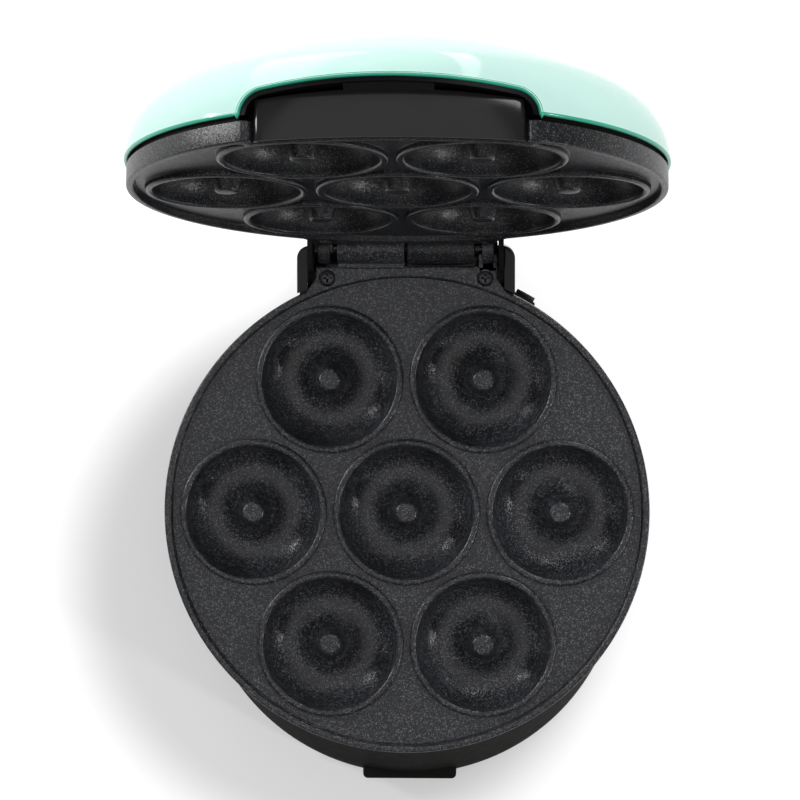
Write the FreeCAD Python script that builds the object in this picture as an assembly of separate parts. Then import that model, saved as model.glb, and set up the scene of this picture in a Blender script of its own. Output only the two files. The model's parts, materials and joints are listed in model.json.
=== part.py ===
import FreeCAD, Part
import math
import os

# Table-top baker with seven ring cavities: a black base, a cast plate on it, and a domed lid that
# carries the same casting upside down. Millimetres, +Z up, hinge at the rear (+Y), lid standing open.
# Every piece is drawn about the plate axis with Z = 0 on the parting plane, where the hinge axis lies
# too. The lid is drawn closed and swung open at the end.

V = FreeCAD.Vector
X_AXIS = V(1, 0, 0)
Z_AXIS = V(0, 0, 1)
CENTRE = V(0, 0, 0)
DIAGONAL = math.sqrt(0.5)

# Baking plates
PLATE_R = 100.0
RIM_WIDTH = 2.7
RIM_CHAMFER = 0.5
PARTING_GAP = 0.6
CREST_RISE = 2.5
CREST_WIDTH = 2.8
CREST_ROUND = 1.0
FLOOR_THICK = 3.5
SKIRT_HEIGHT = 7.4
OUTER_CAVITIES = 6
RING_MARGIN = 3.7
RING_GAP = 2.7
CAVITY_DEPTH = 14.0
CUP_WALL = 3.0
CUP_BEND = 9.5
BOSS_R = 4.6
BOSS_ROUND = 1.4
BOSS_FOOT_R = 6.0
BOSS_DROP = 0.3
BOSS_HEIGHT = 4.7
CORE_TIP_R = 2.0
SHIELD_BOSS_R = 4.0
SHIELD_BOSS_ANGLES = (30.0, 150.0, 270.0)
FIXING_INSET = 14.0
PLATE_BOSS_R = 4.5
PLATE_FIXING_ANGLES = (204.5, 335.5)
NOTCH_HALF = 47.0
NOTCH_DEPTH = 10.5
NOTCH_SIDE = 1.65
NOTCH_FILLET = 2.5

# Hinge
HINGE_REACH = 9.0
OPEN_ANGLE = 101.5
PIN_R = 2.5
PIN_FIT = 0.02
RUN_CLEAR = 0.08
PIN_END_GAP = 0.4
KNUCKLE_R = 6.5
KNUCKLE_GAP = 1.2
BARREL_END = 28.0
LUG_GAP = 1.6
LUG_ROOT_WIDTH = 7.8
LUG_BLOCK_GAP = 2.3
LUG_BLOCK_LENGTH = 3.2
LUG_BLOCK_RISE = 2.8
LUG_KNUCKLE_WIDTH = 5.0
FLANGE_GAP = 1.2
FLANGE_INSET = 0.2
FLANGE_SIDE = 4.8
FLANGE_SPREAD = 5.3
FLANGE_SPREAD_LENGTH = 8.5
FLANGE_SCREW_INSET = 4.8
FLANGE_SCREW_SETBACK = 4.6
SCREW_SINK = 2.6
EAR_GAP = 0.4
EAR_THICK = 2.1
EAR_R = 10.0
STOP_WIDTH = 3.6
STOP_DEPTH = 3.0
STOP_GAP = 0.3

# Base
HOUSING_INSET = 0.6
HOUSING_TOP_FLAT = 1.0
HOUSING_TAPER = 9.4
CHIN_Y = -28.0
HEEL_Y = 8.0
BASE_HEIGHT = 50.0
FOOT_BAND = 4.0
HOUSING_WALL = 2.5
LEDGE_THICK = 2.5
CUP_CLEAR = 0.8
TAB_WIDTH = 41.0
TAB_REACH = 3.0
TAB_HEIGHT = 7.0
TAB_FILLET = 2.0
BLOCK_REACH = 0.9
BLOCK_LENGTH = 30.0
BLOCK_CORNER = 5.0
CHEEK_THICK = 4.3
CHEEK_RISE = 3.0
CHEEK_EDGE = 1.4
CHEEK_GAP = 0.3
DECK_GAP = 1.0
DECK_THICK = 2.5
RIM_CLEAR = 0.8
POST_R = 4.0
POST_HEIGHT = 25.8
POST_ANGLES = (50.0, 130.0, 230.0, 310.0)
POST_INSET = 5.5
FIXING_TAB_R = 6.5
COVER_THICK = 2.2
COVER_CLEAR = 0.3
VENT_ROWS = 7
VENT_PITCH = 9.0
VENT_LENGTH = 34.0
VENT_WIDTH = 3.0
VENT_X = 26.0
FOOT_R = 7.0
FOOT_TIP_R = 6.0
FOOT_HEIGHT = 5.0
FOOT_STEM_R = 3.0
FRONT_FOOT_ANGLE = 53.13
FRONT_FOOT_INSET = 15.0
REAR_FOOT_INSET = 12.5
REAR_FOOT_SETBACK = 15.0
GLAND_ANGLE = 61.0
GLAND_DROP = 30.0
GLAND_R = 3.5
GLAND_FLANGE_R = 4.2
GLAND_FLANGE = 1.7
GLAND_FLANGE_CLEAR = 0.4
GLAND_BORE_R = 2.7
GLAND_FIT = 0.1
GLAND_SEAT_R = 5.4
GLAND_PROUD = 2.3
GLAND_DEPTH = 10.0

# Heating
HEATER_INSET = 15.3
HEATER_TUBE_R = 3.2
HEATER_GAP = 40.0
HEATER_LEG = 12.0
HEATER_PIN_R = 1.2
HEATER_PIN = 5.0
SEAT_CLEAR = 0.05
SHIELD_INSET = 20.0
SHIELD_THICK = 0.8
SHIELD_LIP = 4.0
LEG_CLEAR = 1.0
THERMOSTAT_R = 8.0
THERMOSTAT_HOLE_CLEAR = 1.0
THERMOSTAT_CAP_R = 7.0
THERMOSTAT_CAP = 8.0
EAR_PLATE_LENGTH = 32.0
EAR_PLATE_WIDTH = 11.0
EAR_PLATE_THICK = 1.0
RIVET_X = 12.5
RIVET_R = 1.4
RIVET_HEAD_R = 2.4
RIVET_HEAD = 0.9
BLADE_WIDTH = 5.0
BLADE_THICK = 0.8
BLADE_LENGTH = 7.0
BLADE_X = 3.5
FUSE_R = 2.0
FUSE_LENGTH = 14.0
FUSE_TIP = 3.0
FUSE_INSET = 20.0
CLIP_WIDTH = 5.0
CLIP_THICK = 0.8
CLIP_FOOT = 7.0
TERMINAL_X = 52.0
TERMINAL_Y = 30.0
TERMINAL_LENGTH = 26.0
TERMINAL_WIDTH = 15.0
TERMINAL_HEIGHT = 12.0
TERMINAL_WAYS = 3
TERMINAL_BORE_R = 2.2
TERMINAL_BORE_RISE = 4.0
TERMINAL_PORT_R = 2.0

# Lid
LID_OVERHANG = 1.0
LID_RISE = 45.0
LID_SHOULDER_R = 27.0
LID_RIM_GAP = 1.9
LID_WALL = 1.8
ARCH_MARGIN = 4.7
ARCH_GAP = 3.2
ARCH_TOP_R = 350.0
ARCH_SHOULDER_R = 8.5
LINER_RIM_GAP = 0.7
LINER_HEIGHT = 5.0
COVER_FIXING_ANGLES = (30.0, 150.0, 215.5, 324.5)
HOOD_REACH = 4.0
HOOD_RISE = 3.4
HOOD_GAP = 0.3
HOOD_EDGE = 1.5
FRAME_GAP = 0.3
FRAME_THICK = 1.6
FRAME_SINK = 1.0
FRAME_DEPTH = 12.0
GRIP_SIDE_GAP = 0.7
GRIP_GAP = 0.8
GRIP_THICK = 2.6
GRIP_CORNER = 2.4
GRIP_BOTTOM = 0.6
GRIP_HEIGHT = 16.8
GRIP_SAG = 2.4
GRIP_TAB_WIDTH = 31.0
GRIP_TAB_LEAN = 4.2
GRIP_TAB_RISE = 3.4
LUG_PLATE = 2.5
LUG_PLATE_REACH = 9.0
LUG_PLATE_ROOT = 7.0
HANDLE_SCREW_OFFSET = 3.0
LENS_Y = 20.0
LENS_R = 3.5
LENS_FIT = 0.1
LENS_PROUD = 0.7
LENS_LENGTH = 6.0
LAMP_TUBE_WALL = 2.0
LAMP_TUBE_LENGTH = 15.0
LAMP_R = 2.5
LAMP_LENGTH = 8.0
LAMP_BASE = 4.0

# Screws
SHANK_R = 1.5
SMALL_SHANK_R = 1.0
SCREW_LENGTH = 7.0
SHORT_SCREW_LENGTH = 5.5
HEAD_R = 3.0
SMALL_HEAD_R = 1.7
HEAD_HEIGHT = 2.0
HEAD_DOME = 0.7
CROSS_SHARE = 0.6
CROSS_WIDTH = 0.9
CROSS_DEPTH = 1.2
HOLE_CLEAR = 0.3
HEAD_CLEAR = 0.5
PILOT_FIT = 0.05

# Plate: the ring of cavities fills it up to a margin inside the rim, with a gap between their beads
RING_SPREAD = math.sin(math.pi / OUTER_CAVITIES)
RING_FIELD_R = PLATE_R - RIM_WIDTH - RING_MARGIN
RING_R = (2 * RING_FIELD_R * RING_SPREAD - RING_GAP) / (2 + 2 * RING_SPREAD)
CAVITY_PITCH = RING_FIELD_R - RING_R
CAVITY_R = RING_R - CREST_WIDTH
CREST_Z = -PARTING_GAP / 2
FLOOR_TOP = CREST_Z - CREST_RISE
FLOOR_BOTTOM = FLOOR_TOP - FLOOR_THICK
SKIRT_Z = CREST_Z - SKIRT_HEIGHT
TROUGH_Z = CREST_Z - CAVITY_DEPTH
CUP_Z = TROUGH_Z - CUP_WALL
BOSS_Z = CREST_Z - BOSS_DROP
BOSS_FOOT_Z = BOSS_Z - BOSS_HEIGHT
TROUGH_R = (CAVITY_R + BOSS_FOOT_R) / 2
CUP_R = CAVITY_R + CUP_WALL
CUP_FLAT_R = CUP_R - CUP_BEND
CUP_REACH = CAVITY_PITCH + CUP_R
FIXING_R = PLATE_R - FIXING_INSET
NOTCH_REACH = PLATE_R - NOTCH_DEPTH
NOTCH_CORNER_X = NOTCH_HALF + NOTCH_FILLET
NOTCH_CORNER_Y = -math.sqrt((PLATE_R - NOTCH_FILLET) ** 2 - NOTCH_CORNER_X ** 2)
NOTCH_SAG = NOTCH_REACH + NOTCH_CORNER_Y + NOTCH_SIDE
NOTCH_ARC_R = (NOTCH_HALF ** 2 + NOTCH_SAG ** 2) / (2 * NOTCH_SAG)
NOTCH_ARC_Y = NOTCH_ARC_R - NOTCH_REACH
FAR = 3 * PLATE_R

# Hinge: behind the plate, the lugs beside the barrels and the ears beside the lugs
HINGE_Y = PLATE_R + HINGE_REACH
LUG_START = BARREL_END + LUG_GAP
LUG_END = LUG_START + LUG_ROOT_WIDTH
FLANGE_TOP = CREST_Z
FLANGE_END = HINGE_Y - KNUCKLE_R - FLANGE_GAP
FLANGE_HALF = LUG_END - FLANGE_INSET
FLANGE_SHOULDER = FLANGE_END - FLANGE_SIDE
FLANGE_FOOT_HALF = FLANGE_HALF + FLANGE_SPREAD
FLANGE_FOOT_Y = FLANGE_SHOULDER - FLANGE_SPREAD_LENGTH
FLANGE_SCREW_X = FLANGE_HALF - FLANGE_SCREW_INSET
FLANGE_SCREW_Y = FLANGE_END - FLANGE_SCREW_SETBACK
EAR_INNER = LUG_END + EAR_GAP
EAR_OUTER = EAR_INNER + EAR_THICK

# Heating: the ring lies under the outer cups, the shield under the ring
HEATER_R = CAVITY_PITCH - HEATER_INSET
HEATER_Z = CUP_Z - SEAT_CLEAR - HEATER_TUBE_R
SHIELD_R = PLATE_R - SHIELD_INSET
SHIELD_TOP = HEATER_Z - HEATER_TUBE_R - SEAT_CLEAR
SHIELD_BOTTOM = SHIELD_TOP - SHIELD_THICK
SHIELD_BOSS_PITCH = CAVITY_PITCH / math.sqrt(3)
FUSE_Y = FUSE_INSET - SHIELD_R

# Base: the bowl hangs under the plate's skirt, the block stands round the hinge
HOUSING_TOP_R = PLATE_R - HOUSING_INSET
HOUSING_R = HOUSING_TOP_R - HOUSING_TAPER
BASE_Z = -BASE_HEIGHT
BAND_Z = BASE_Z + FOOT_BAND
COVER_TOP = BASE_Z + COVER_THICK
POST_TOP = COVER_TOP + POST_HEIGHT
LEDGE_INNER_R = CUP_REACH + CUP_CLEAR
LEDGE_Z = SKIRT_Z - LEDGE_THICK
DECK_Z = -EAR_R - DECK_GAP
WINDOW_HALF = EAR_OUTER + CHEEK_GAP
BLOCK_HALF = WINDOW_HALF + CHEEK_THICK
BLOCK_REAR = HINGE_Y + BLOCK_REACH
BLOCK_FRONT = BLOCK_REAR - BLOCK_LENGTH
FRONT_FOOT_R = HOUSING_R - FRONT_FOOT_INSET
FRONT_FOOT_X = FRONT_FOOT_R * math.cos(math.radians(FRONT_FOOT_ANGLE))
FRONT_FOOT_Y = CHIN_Y - FRONT_FOOT_R * math.sin(math.radians(FRONT_FOOT_ANGLE))
REAR_FOOT_X = BLOCK_HALF - REAR_FOOT_INSET
REAR_FOOT_Y = BLOCK_REAR - REAR_FOOT_SETBACK
FOOT_PLACES = ((-FRONT_FOOT_X, FRONT_FOOT_Y), (FRONT_FOOT_X, FRONT_FOOT_Y),
               (-REAR_FOOT_X, REAR_FOOT_Y), (REAR_FOOT_X, REAR_FOOT_Y))

# Lid: the dome overhangs the plate, the liner fills its rim and the grip fills the plate's notch
LID_R = PLATE_R + LID_OVERHANG
LID_RIM_Z = LID_RIM_GAP - SKIRT_Z
LID_CROWN_R = (LID_R ** 2 + LID_RISE ** 2 - 2 * LID_R * LID_SHOULDER_R) / (2 * (LID_RISE - LID_SHOULDER_R))
LINER_OUTER_R = LID_R - LID_WALL - LINER_RIM_GAP
LINER_Z = -SKIRT_Z
LINER_TOP = LINER_Z + LINER_HEIGHT
COVER_TAB_Z = -FLOOR_BOTTOM + HEAD_HEIGHT + HEAD_CLEAR
COVER_TAB_TOP = COVER_TAB_Z + LEDGE_THICK
HOOD_REAR = HINGE_Y + HOOD_REACH
HOOD_TOP = LID_RIM_Z + HOOD_RISE
GRIP_HALF = NOTCH_HALF - GRIP_SIDE_GAP
GRIP_INNER_R = NOTCH_ARC_R + GRIP_GAP
GRIP_OUTER_R = GRIP_INNER_R + GRIP_THICK
GRIP_CROWN = GRIP_BOTTOM + GRIP_HEIGHT
GRIP_SIDE_TOP = GRIP_CROWN - GRIP_SAG
ARCH_HALF = GRIP_HALF + ARCH_MARGIN
ARCH_CROWN = GRIP_CROWN + ARCH_GAP
LUG_PLATE_START = ARCH_HALF - LUG_PLATE_ROOT
LUG_PLATE_HALF = ARCH_HALF + LUG_PLATE_REACH
HANDLE_SCREW_X = ARCH_HALF + HANDLE_SCREW_OFFSET
HANDLE_SCREW_R = LEDGE_INNER_R + SMALL_SHANK_R + LINER_RIM_GAP


# Solids


def box(x0, x1, y0, y1, z0, z1):
    return Part.makeBox(x1 - x0, y1 - y0, z1 - z0, V(x0, y0, z0))


def cylinder(radius, z0, z1, x=0.0, y=0.0):
    return Part.makeCylinder(radius, z1 - z0, V(x, y, z0), Z_AXIS)


def cylinder_x(radius, x0, x1, y, z):
    return Part.makeCylinder(radius, x1 - x0, V(x0, y, z), X_AXIS)


def tube(outer, inner, z0, z1):
    return cylinder(outer, z0, z1).cut(cylinder(inner, z0, z1))


def polar(radius, degrees):
    angle = math.radians(degrees)
    return radius * math.cos(angle), radius * math.sin(angle)


def line(start, end):
    return Part.makeLine(V(*start), V(*end))


def arc(start, middle, end):
    return Part.Arc(V(*start), V(*middle), V(*end)).toShape()


def cap_arc(radius, z, rise):
    """Arc of a round cap, from its edge at the given height to its top on the Z axis."""
    ball_r = (radius ** 2 + rise ** 2) / (2 * rise)
    half = math.asin(radius / ball_r) / 2
    middle = (ball_r * math.sin(half), 0, z + rise - ball_r * (1 - math.cos(half)))
    return arc((radius, 0, z), middle, (0, 0, z + rise))


def prism(edges, direction):
    return Part.Face(Part.Wire(edges)).extrude(direction)


def polygon_prism(points, direction):
    return Part.Face(Part.makePolygon([V(*p) for p in points + points[:1]])).extrude(direction)


def turned(edges):
    return Part.Face(Part.Wire(edges)).revolve(CENTRE, Z_AXIS, 360)


def joined(first, *others):
    return first.multiFuse(list(others)).removeSplitter()


def without(solid, *tools):
    return solid.cut(Part.makeCompound(list(tools)))


def mirrored(solid):
    return solid.mirror(CENTRE, X_AXIS)


def both_sides(solid):
    return [solid, mirrored(solid)]


def turned_over(solid):
    """The same solid half a turn about the Y axis, from the base to the closed lid."""
    copy = solid.copy()
    copy.rotate(CENTRE, V(0, 1, 0), 180)
    return copy


def moved(solid, x, y, z):
    copy = solid.copy()
    copy.translate(V(x, y, z))
    return copy


def edges_where(solid, test):
    return [edge for edge in solid.Edges if test(edge)]


def is_upright(edge):
    first, last = edge.Vertexes[0].Point, edge.Vertexes[-1].Point
    return abs(first.x - last.x) + abs(first.y - last.y) < 1e-6 and abs(first.z - last.z) > 1e-6


def screw(length, shank_r=SHANK_R, head_r=HEAD_R):
    """Pan-head screw pointing down, the underside of its head at Z = 0."""
    rim_z = HEAD_HEIGHT - HEAD_DOME
    head = turned([
        line((0, 0, 0), (head_r, 0, 0)),
        line((head_r, 0, 0), (head_r, 0, rim_z)),
        cap_arc(head_r, rim_z, HEAD_DOME),
        line((0, 0, HEAD_HEIGHT), (0, 0, 0)),
    ])
    half, thin = head_r * CROSS_SHARE, CROSS_WIDTH / 2
    low, high = HEAD_HEIGHT - CROSS_DEPTH, HEAD_HEIGHT
    cross = box(-half, half, -thin, thin, low, high).fuse(box(-thin, thin, -half, half, low, high))
    return joined(head, cylinder(shank_r, -length, 0)).cut(cross)


def screw_up(length):
    """The same screw pointing up, the underside of its head at Z = 0."""
    copy = screw(length)
    copy.rotate(CENTRE, X_AXIS, 180)
    return copy


def group(solids):
    return Part.makeCompound(solids)


# Baking plates


def notched_outline(inset, z):
    """Rim cut back at the front to make room for the grip: round corners and a shallow arc between."""
    radius, half, arc_r = PLATE_R - inset, NOTCH_HALF + inset, NOTCH_ARC_R - inset
    corner_x = half + NOTCH_FILLET
    corner_y = -math.sqrt((radius - NOTCH_FILLET) ** 2 - corner_x ** 2)
    reach = radius / (radius - NOTCH_FILLET)
    rim_x, rim_y = corner_x * reach, corner_y * reach
    inner_y = NOTCH_ARC_Y - math.sqrt(arc_r ** 2 - half ** 2)
    round_x, round_y = corner_x - NOTCH_FILLET * DIAGONAL, corner_y - NOTCH_FILLET * DIAGONAL
    return [
        arc((rim_x, rim_y, z), (0, radius, z), (-rim_x, rim_y, z)),
        arc((-rim_x, rim_y, z), (-round_x, round_y, z), (-half, corner_y, z)),
        line((-half, corner_y, z), (-half, inner_y, z)),
        arc((-half, inner_y, z), (0, NOTCH_ARC_Y - arc_r, z), (half, inner_y, z)),
        line((half, inner_y, z), (half, corner_y, z)),
        arc((half, corner_y, z), (round_x, round_y, z), (rim_x, rim_y, z)),
    ]


def plate_outline(inset, z, notched):
    if notched:
        return notched_outline(inset, z)
    return [Part.makeCircle(PLATE_R - inset, V(0, 0, z))]


def plate_prism(inset, z0, z1, notched):
    return prism(plate_outline(inset, z0, notched), V(0, 0, z1 - z0))


def plate_body(notched):
    """Floor, rim and skirt in one, the rim bevelled outside."""
    shoulder = CREST_Z - RIM_CHAMFER
    lower = Part.Wire(plate_outline(0, shoulder, notched))
    upper = Part.Wire(plate_outline(RIM_CHAMFER, CREST_Z, notched))
    bevel = Part.makeLoft([lower, upper], True, True)
    outer = joined(plate_prism(0, SKIRT_Z, shoulder, notched), bevel)
    above = plate_prism(RIM_WIDTH, FLOOR_TOP, FAR, notched)
    below = plate_prism(RIM_WIDTH, -FAR, FLOOR_BOTTOM, notched)
    return without(outer, above, below)


def cavity_places():
    step = 360.0 / OUTER_CAVITIES
    return [(0.0, 0.0)] + [polar(CAVITY_PITCH, step * i) for i in range(OUTER_CAVITIES)]


def bend(wall, bottom):
    """Quarter bend from an upright wall to a level bottom, in a radius and height section."""
    middle = (bottom[0] + (wall[0] - bottom[0]) * DIAGONAL, 0, wall[2] + (bottom[2] - wall[2]) * DIAGONAL)
    return arc(wall, middle, bottom)


def cup():
    """Outside of one cavity, below the floor."""
    wall, flat = (CUP_R, 0, FLOOR_TOP), (CUP_FLAT_R, 0, CUP_Z)
    return turned([
        line((0, 0, FLOOR_TOP), wall),
        bend(wall, flat),
        line(flat, (0, 0, CUP_Z)),
        line((0, 0, CUP_Z), (0, 0, FLOOR_TOP)),
    ])


def crest():
    """Raised bead round one cavity."""
    inner, outer = CAVITY_R, CAVITY_R + CREST_WIDTH
    shoulder = CREST_Z - CREST_ROUND
    return turned([
        line((inner, 0, FLOOR_BOTTOM), (inner, 0, shoulder)),
        arc((inner, 0, shoulder), ((inner + outer) / 2, 0, CREST_Z), (outer, 0, shoulder)),
        line((outer, 0, shoulder), (outer, 0, FLOOR_BOTTOM)),
        line((outer, 0, FLOOR_BOTTOM), (inner, 0, FLOOR_BOTTOM)),
    ])


def cavity():
    """Hollow of one cavity: a ring trough round a tapered boss."""
    lip, bottom = (CAVITY_R, 0, CREST_Z - CREST_ROUND), (TROUGH_R, 0, TROUGH_Z)
    foot, top = (BOSS_FOOT_R, 0, BOSS_FOOT_Z), (BOSS_R, 0, BOSS_Z - BOSS_ROUND)
    flat = (BOSS_R - BOSS_ROUND, 0, BOSS_Z)
    return turned([
        line((0, 0, BOSS_Z), flat),
        bend(top, flat),
        line(top, foot),
        bend(foot, bottom),
        bend(lip, bottom),
        line(lip, (CAVITY_R, 0, 0)),
        line((CAVITY_R, 0, 0), (0, 0, 0)),
        line((0, 0, 0), (0, 0, BOSS_Z)),
    ])


def boss_core():
    """Cored-out underside of the boss."""
    depth = BOSS_FOOT_Z - CUP_Z
    return Part.makeCone(BOSS_FOOT_R, CORE_TIP_R, depth, V(0, 0, CUP_Z), Z_AXIS)


def at_cavities(solid):
    return [moved(solid, x, y, 0) for x, y in cavity_places()]


def flange():
    """Bridge from the rim to the knuckles."""
    z = FLOOR_BOTTOM
    points = [(-FLANGE_FOOT_HALF, FLANGE_FOOT_Y, z), (-FLANGE_HALF, FLANGE_SHOULDER, z),
              (-FLANGE_HALF, FLANGE_END, z), (FLANGE_HALF, FLANGE_END, z),
              (FLANGE_HALF, FLANGE_SHOULDER, z), (FLANGE_FOOT_HALF, FLANGE_FOOT_Y, z)]
    plate = polygon_prism(points, V(0, 0, FLANGE_TOP - z))
    return plate.cut(cylinder(PLATE_R - RIM_WIDTH / 2, -FAR, FAR))


def knuckle(x0, x1):
    web = box(x0, x1, FLANGE_END - FLOOR_THICK, HINGE_Y, FLOOR_BOTTOM, FLANGE_TOP)
    return cylinder_x(KNUCKLE_R, x0, x1, HINGE_Y, 0).fuse(web)


def lug():
    """Short outer knuckle on a wider root, which stands up as a block in front of it."""
    middle, half = LUG_START + LUG_ROOT_WIDTH / 2, LUG_KNUCKLE_WIDTH / 2
    end = HINGE_Y - LUG_BLOCK_GAP
    root = box(LUG_START, LUG_END, FLANGE_END - FLOOR_THICK, end, FLOOR_BOTTOM, FLANGE_TOP)
    block = box(LUG_START, LUG_END, end - LUG_BLOCK_LENGTH, end, FLOOR_BOTTOM, LUG_BLOCK_RISE)
    return joined(root, block, knuckle(middle - half, middle + half))


def flange_screw_places():
    return [(-FLANGE_SCREW_X, FLANGE_SCREW_Y), (FLANGE_SCREW_X, FLANGE_SCREW_Y)]


def casting(notched, bore_r):
    """Baking plate, drawn as the lower one: cavities open upwards, long barrel on the left."""
    shield_bosses = [cylinder(SHIELD_BOSS_R, SHIELD_TOP, FLOOR_TOP, *polar(SHIELD_BOSS_PITCH, a))
                     for a in SHIELD_BOSS_ANGLES]
    plate_bosses = [cylinder(PLATE_BOSS_R, SKIRT_Z, FLOOR_TOP, *polar(FIXING_R, a))
                    for a in PLATE_FIXING_ANGLES]
    solid = joined(plate_body(notched), *at_cavities(cup()), *at_cavities(crest()), *shield_bosses,
                   *plate_bosses, flange(), knuckle(-BARREL_END, -KNUCKLE_GAP / 2), lug())
    pilot = SHANK_R + PILOT_FIT
    tools = at_cavities(cavity()) + at_cavities(boss_core())
    tools += [cylinder(pilot, SHIELD_TOP, SHIELD_TOP + SCREW_LENGTH, *polar(SHIELD_BOSS_PITCH, a))
              for a in SHIELD_BOSS_ANGLES]
    tools += [cylinder(pilot, SKIRT_Z, SKIRT_Z + SHORT_SCREW_LENGTH - LEDGE_THICK, *polar(FIXING_R, a))
              for a in PLATE_FIXING_ANGLES]
    for x, y in flange_screw_places():
        tools.append(cylinder(SHANK_R + HOLE_CLEAR, FLOOR_BOTTOM, FLANGE_TOP, x, y))
        tools.append(cylinder(HEAD_R + HEAD_CLEAR, FLANGE_TOP - SCREW_SINK, 0, x, y))
    tools.append(cylinder_x(bore_r, -FAR, FAR, HINGE_Y, 0))
    return without(solid, *tools)


def hinge_pin():
    half = EAR_INNER - PIN_END_GAP
    return cylinder_x(PIN_R, -half, half, HINGE_Y, 0)


def flange_screws():
    z = FLANGE_TOP - SCREW_SINK
    return group([moved(screw(SHORT_SCREW_LENGTH), x, y, z) for x, y in flange_screw_places()])


def plate_screws():
    return group([moved(screw_up(SHORT_SCREW_LENGTH), *polar(FIXING_R, a), LEDGE_Z)
                  for a in PLATE_FIXING_ANGLES])


# Heating, drawn for the lower plate


def heater_ends():
    return [polar(HEATER_R, 90 - HEATER_GAP / 2), polar(HEATER_R, 90 + HEATER_GAP / 2)]


def heater():
    """Open ring of sheathed tube with two legs and their connecting pins."""
    ring = Part.makeTorus(HEATER_R, HEATER_TUBE_R, CENTRE, Z_AXIS, -180, 180, 360 - HEATER_GAP)
    ring.rotate(CENTRE, Z_AXIS, 90 + HEATER_GAP / 2)
    pieces = []
    for x, y in heater_ends():
        pieces.append(moved(Part.makeSphere(HEATER_TUBE_R), x, y, 0))
        pieces.append(cylinder(HEATER_TUBE_R, -HEATER_LEG, 0, x, y))
        pieces.append(cylinder(HEATER_PIN_R, -HEATER_LEG - HEATER_PIN, -HEATER_LEG, x, y))
    return moved(joined(ring, *pieces), 0, 0, HEATER_Z)


def heat_shield():
    """Sheet dish that holds the heater against the cups."""
    dish = cylinder(SHIELD_R, SHIELD_BOTTOM, SHIELD_TOP)
    lip = tube(SHIELD_R, SHIELD_R - SHIELD_THICK, SHIELD_BOTTOM, SHIELD_TOP + SHIELD_LIP)
    holes = [cylinder(HEATER_TUBE_R + LEG_CLEAR, SHIELD_BOTTOM, SHIELD_TOP, x, y) for x, y in heater_ends()]
    holes += [cylinder(SHANK_R + HOLE_CLEAR, SHIELD_BOTTOM, SHIELD_TOP, *polar(SHIELD_BOSS_PITCH, a))
              for a in SHIELD_BOSS_ANGLES]
    return without(joined(dish, lip), *holes)


def lower_heat_shield():
    """The lower dish also has the thermostat's opening and rivet holes."""
    opening = cylinder(THERMOSTAT_R + THERMOSTAT_HOLE_CLEAR, SHIELD_BOTTOM, SHIELD_TOP)
    rivet_hole = cylinder(RIVET_R, SHIELD_BOTTOM, SHIELD_TOP, RIVET_X)
    return without(heat_shield(), opening, *both_sides(rivet_hole))


def shield_screws():
    return group([moved(screw_up(SCREW_LENGTH - SHIELD_THICK), *polar(SHIELD_BOSS_PITCH, a), SHIELD_BOTTOM)
                  for a in SHIELD_BOSS_ANGLES])


def thermostat():
    """Disc thermostat pressed on the centre cup, with its ear plate under the shield."""
    ear_bottom = SHIELD_BOTTOM - EAR_PLATE_THICK
    cap_bottom = ear_bottom - THERMOSTAT_CAP
    half_length, half_width = EAR_PLATE_LENGTH / 2, EAR_PLATE_WIDTH / 2
    body = cylinder(THERMOSTAT_R, SHIELD_BOTTOM, CUP_Z - SEAT_CLEAR)
    ears = box(-half_length, half_length, -half_width, half_width, ear_bottom, SHIELD_BOTTOM)
    cap = cylinder(THERMOSTAT_CAP_R, cap_bottom, ear_bottom)
    blade = box(BLADE_X, BLADE_X + BLADE_THICK, -BLADE_WIDTH / 2, BLADE_WIDTH / 2,
                cap_bottom - BLADE_LENGTH, cap_bottom)
    holes = both_sides(cylinder(RIVET_R, ear_bottom, SHIELD_BOTTOM, RIVET_X))
    return without(joined(body, ears, cap, *both_sides(blade)), *holes)


def thermostat_rivets():
    ear_bottom = SHIELD_BOTTOM - EAR_PLATE_THICK
    shank = cylinder(RIVET_R, ear_bottom, SHIELD_TOP, RIVET_X)
    below = cylinder(RIVET_HEAD_R, ear_bottom - RIVET_HEAD, ear_bottom, RIVET_X)
    above = cylinder(RIVET_HEAD_R, SHIELD_TOP, SHIELD_TOP + RIVET_HEAD, RIVET_X)
    return group(both_sides(joined(shank, below, above)))


def fuse_z():
    return SHIELD_BOTTOM - FUSE_R


def thermal_fuse():
    """Sealed barrel with tapered ends, lying across the shield."""
    half = FUSE_LENGTH / 2
    barrel = cylinder_x(FUSE_R, -half, half, FUSE_Y, fuse_z())
    tip = Part.makeCone(FUSE_R, FUSE_R / 2, FUSE_TIP, V(half, FUSE_Y, fuse_z()), X_AXIS)
    return joined(barrel, *both_sides(tip))


def fuse_clip():
    """Saddle over the fuse with a foot on each side."""
    half = CLIP_WIDTH / 2
    outer_r = FUSE_R + CLIP_THICK
    legs = box(-half, half, FUSE_Y - outer_r, FUSE_Y + outer_r, fuse_z(), SHIELD_BOTTOM)
    bow = cylinder_x(outer_r, -half, half, FUSE_Y, fuse_z())
    bow = bow.cut(box(-FAR, FAR, -FAR, FAR, fuse_z(), FAR))
    feet = box(-half, half, FUSE_Y - CLIP_FOOT, FUSE_Y + CLIP_FOOT,
               SHIELD_BOTTOM - CLIP_THICK, SHIELD_BOTTOM)
    room = cylinder_x(FUSE_R, -FAR, FAR, FUSE_Y, fuse_z())
    room = room.fuse(box(-FAR, FAR, FUSE_Y - FUSE_R, FUSE_Y + FUSE_R, fuse_z(), SHIELD_BOTTOM))
    return joined(bow, legs, feet).cut(room)


# Base


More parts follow.
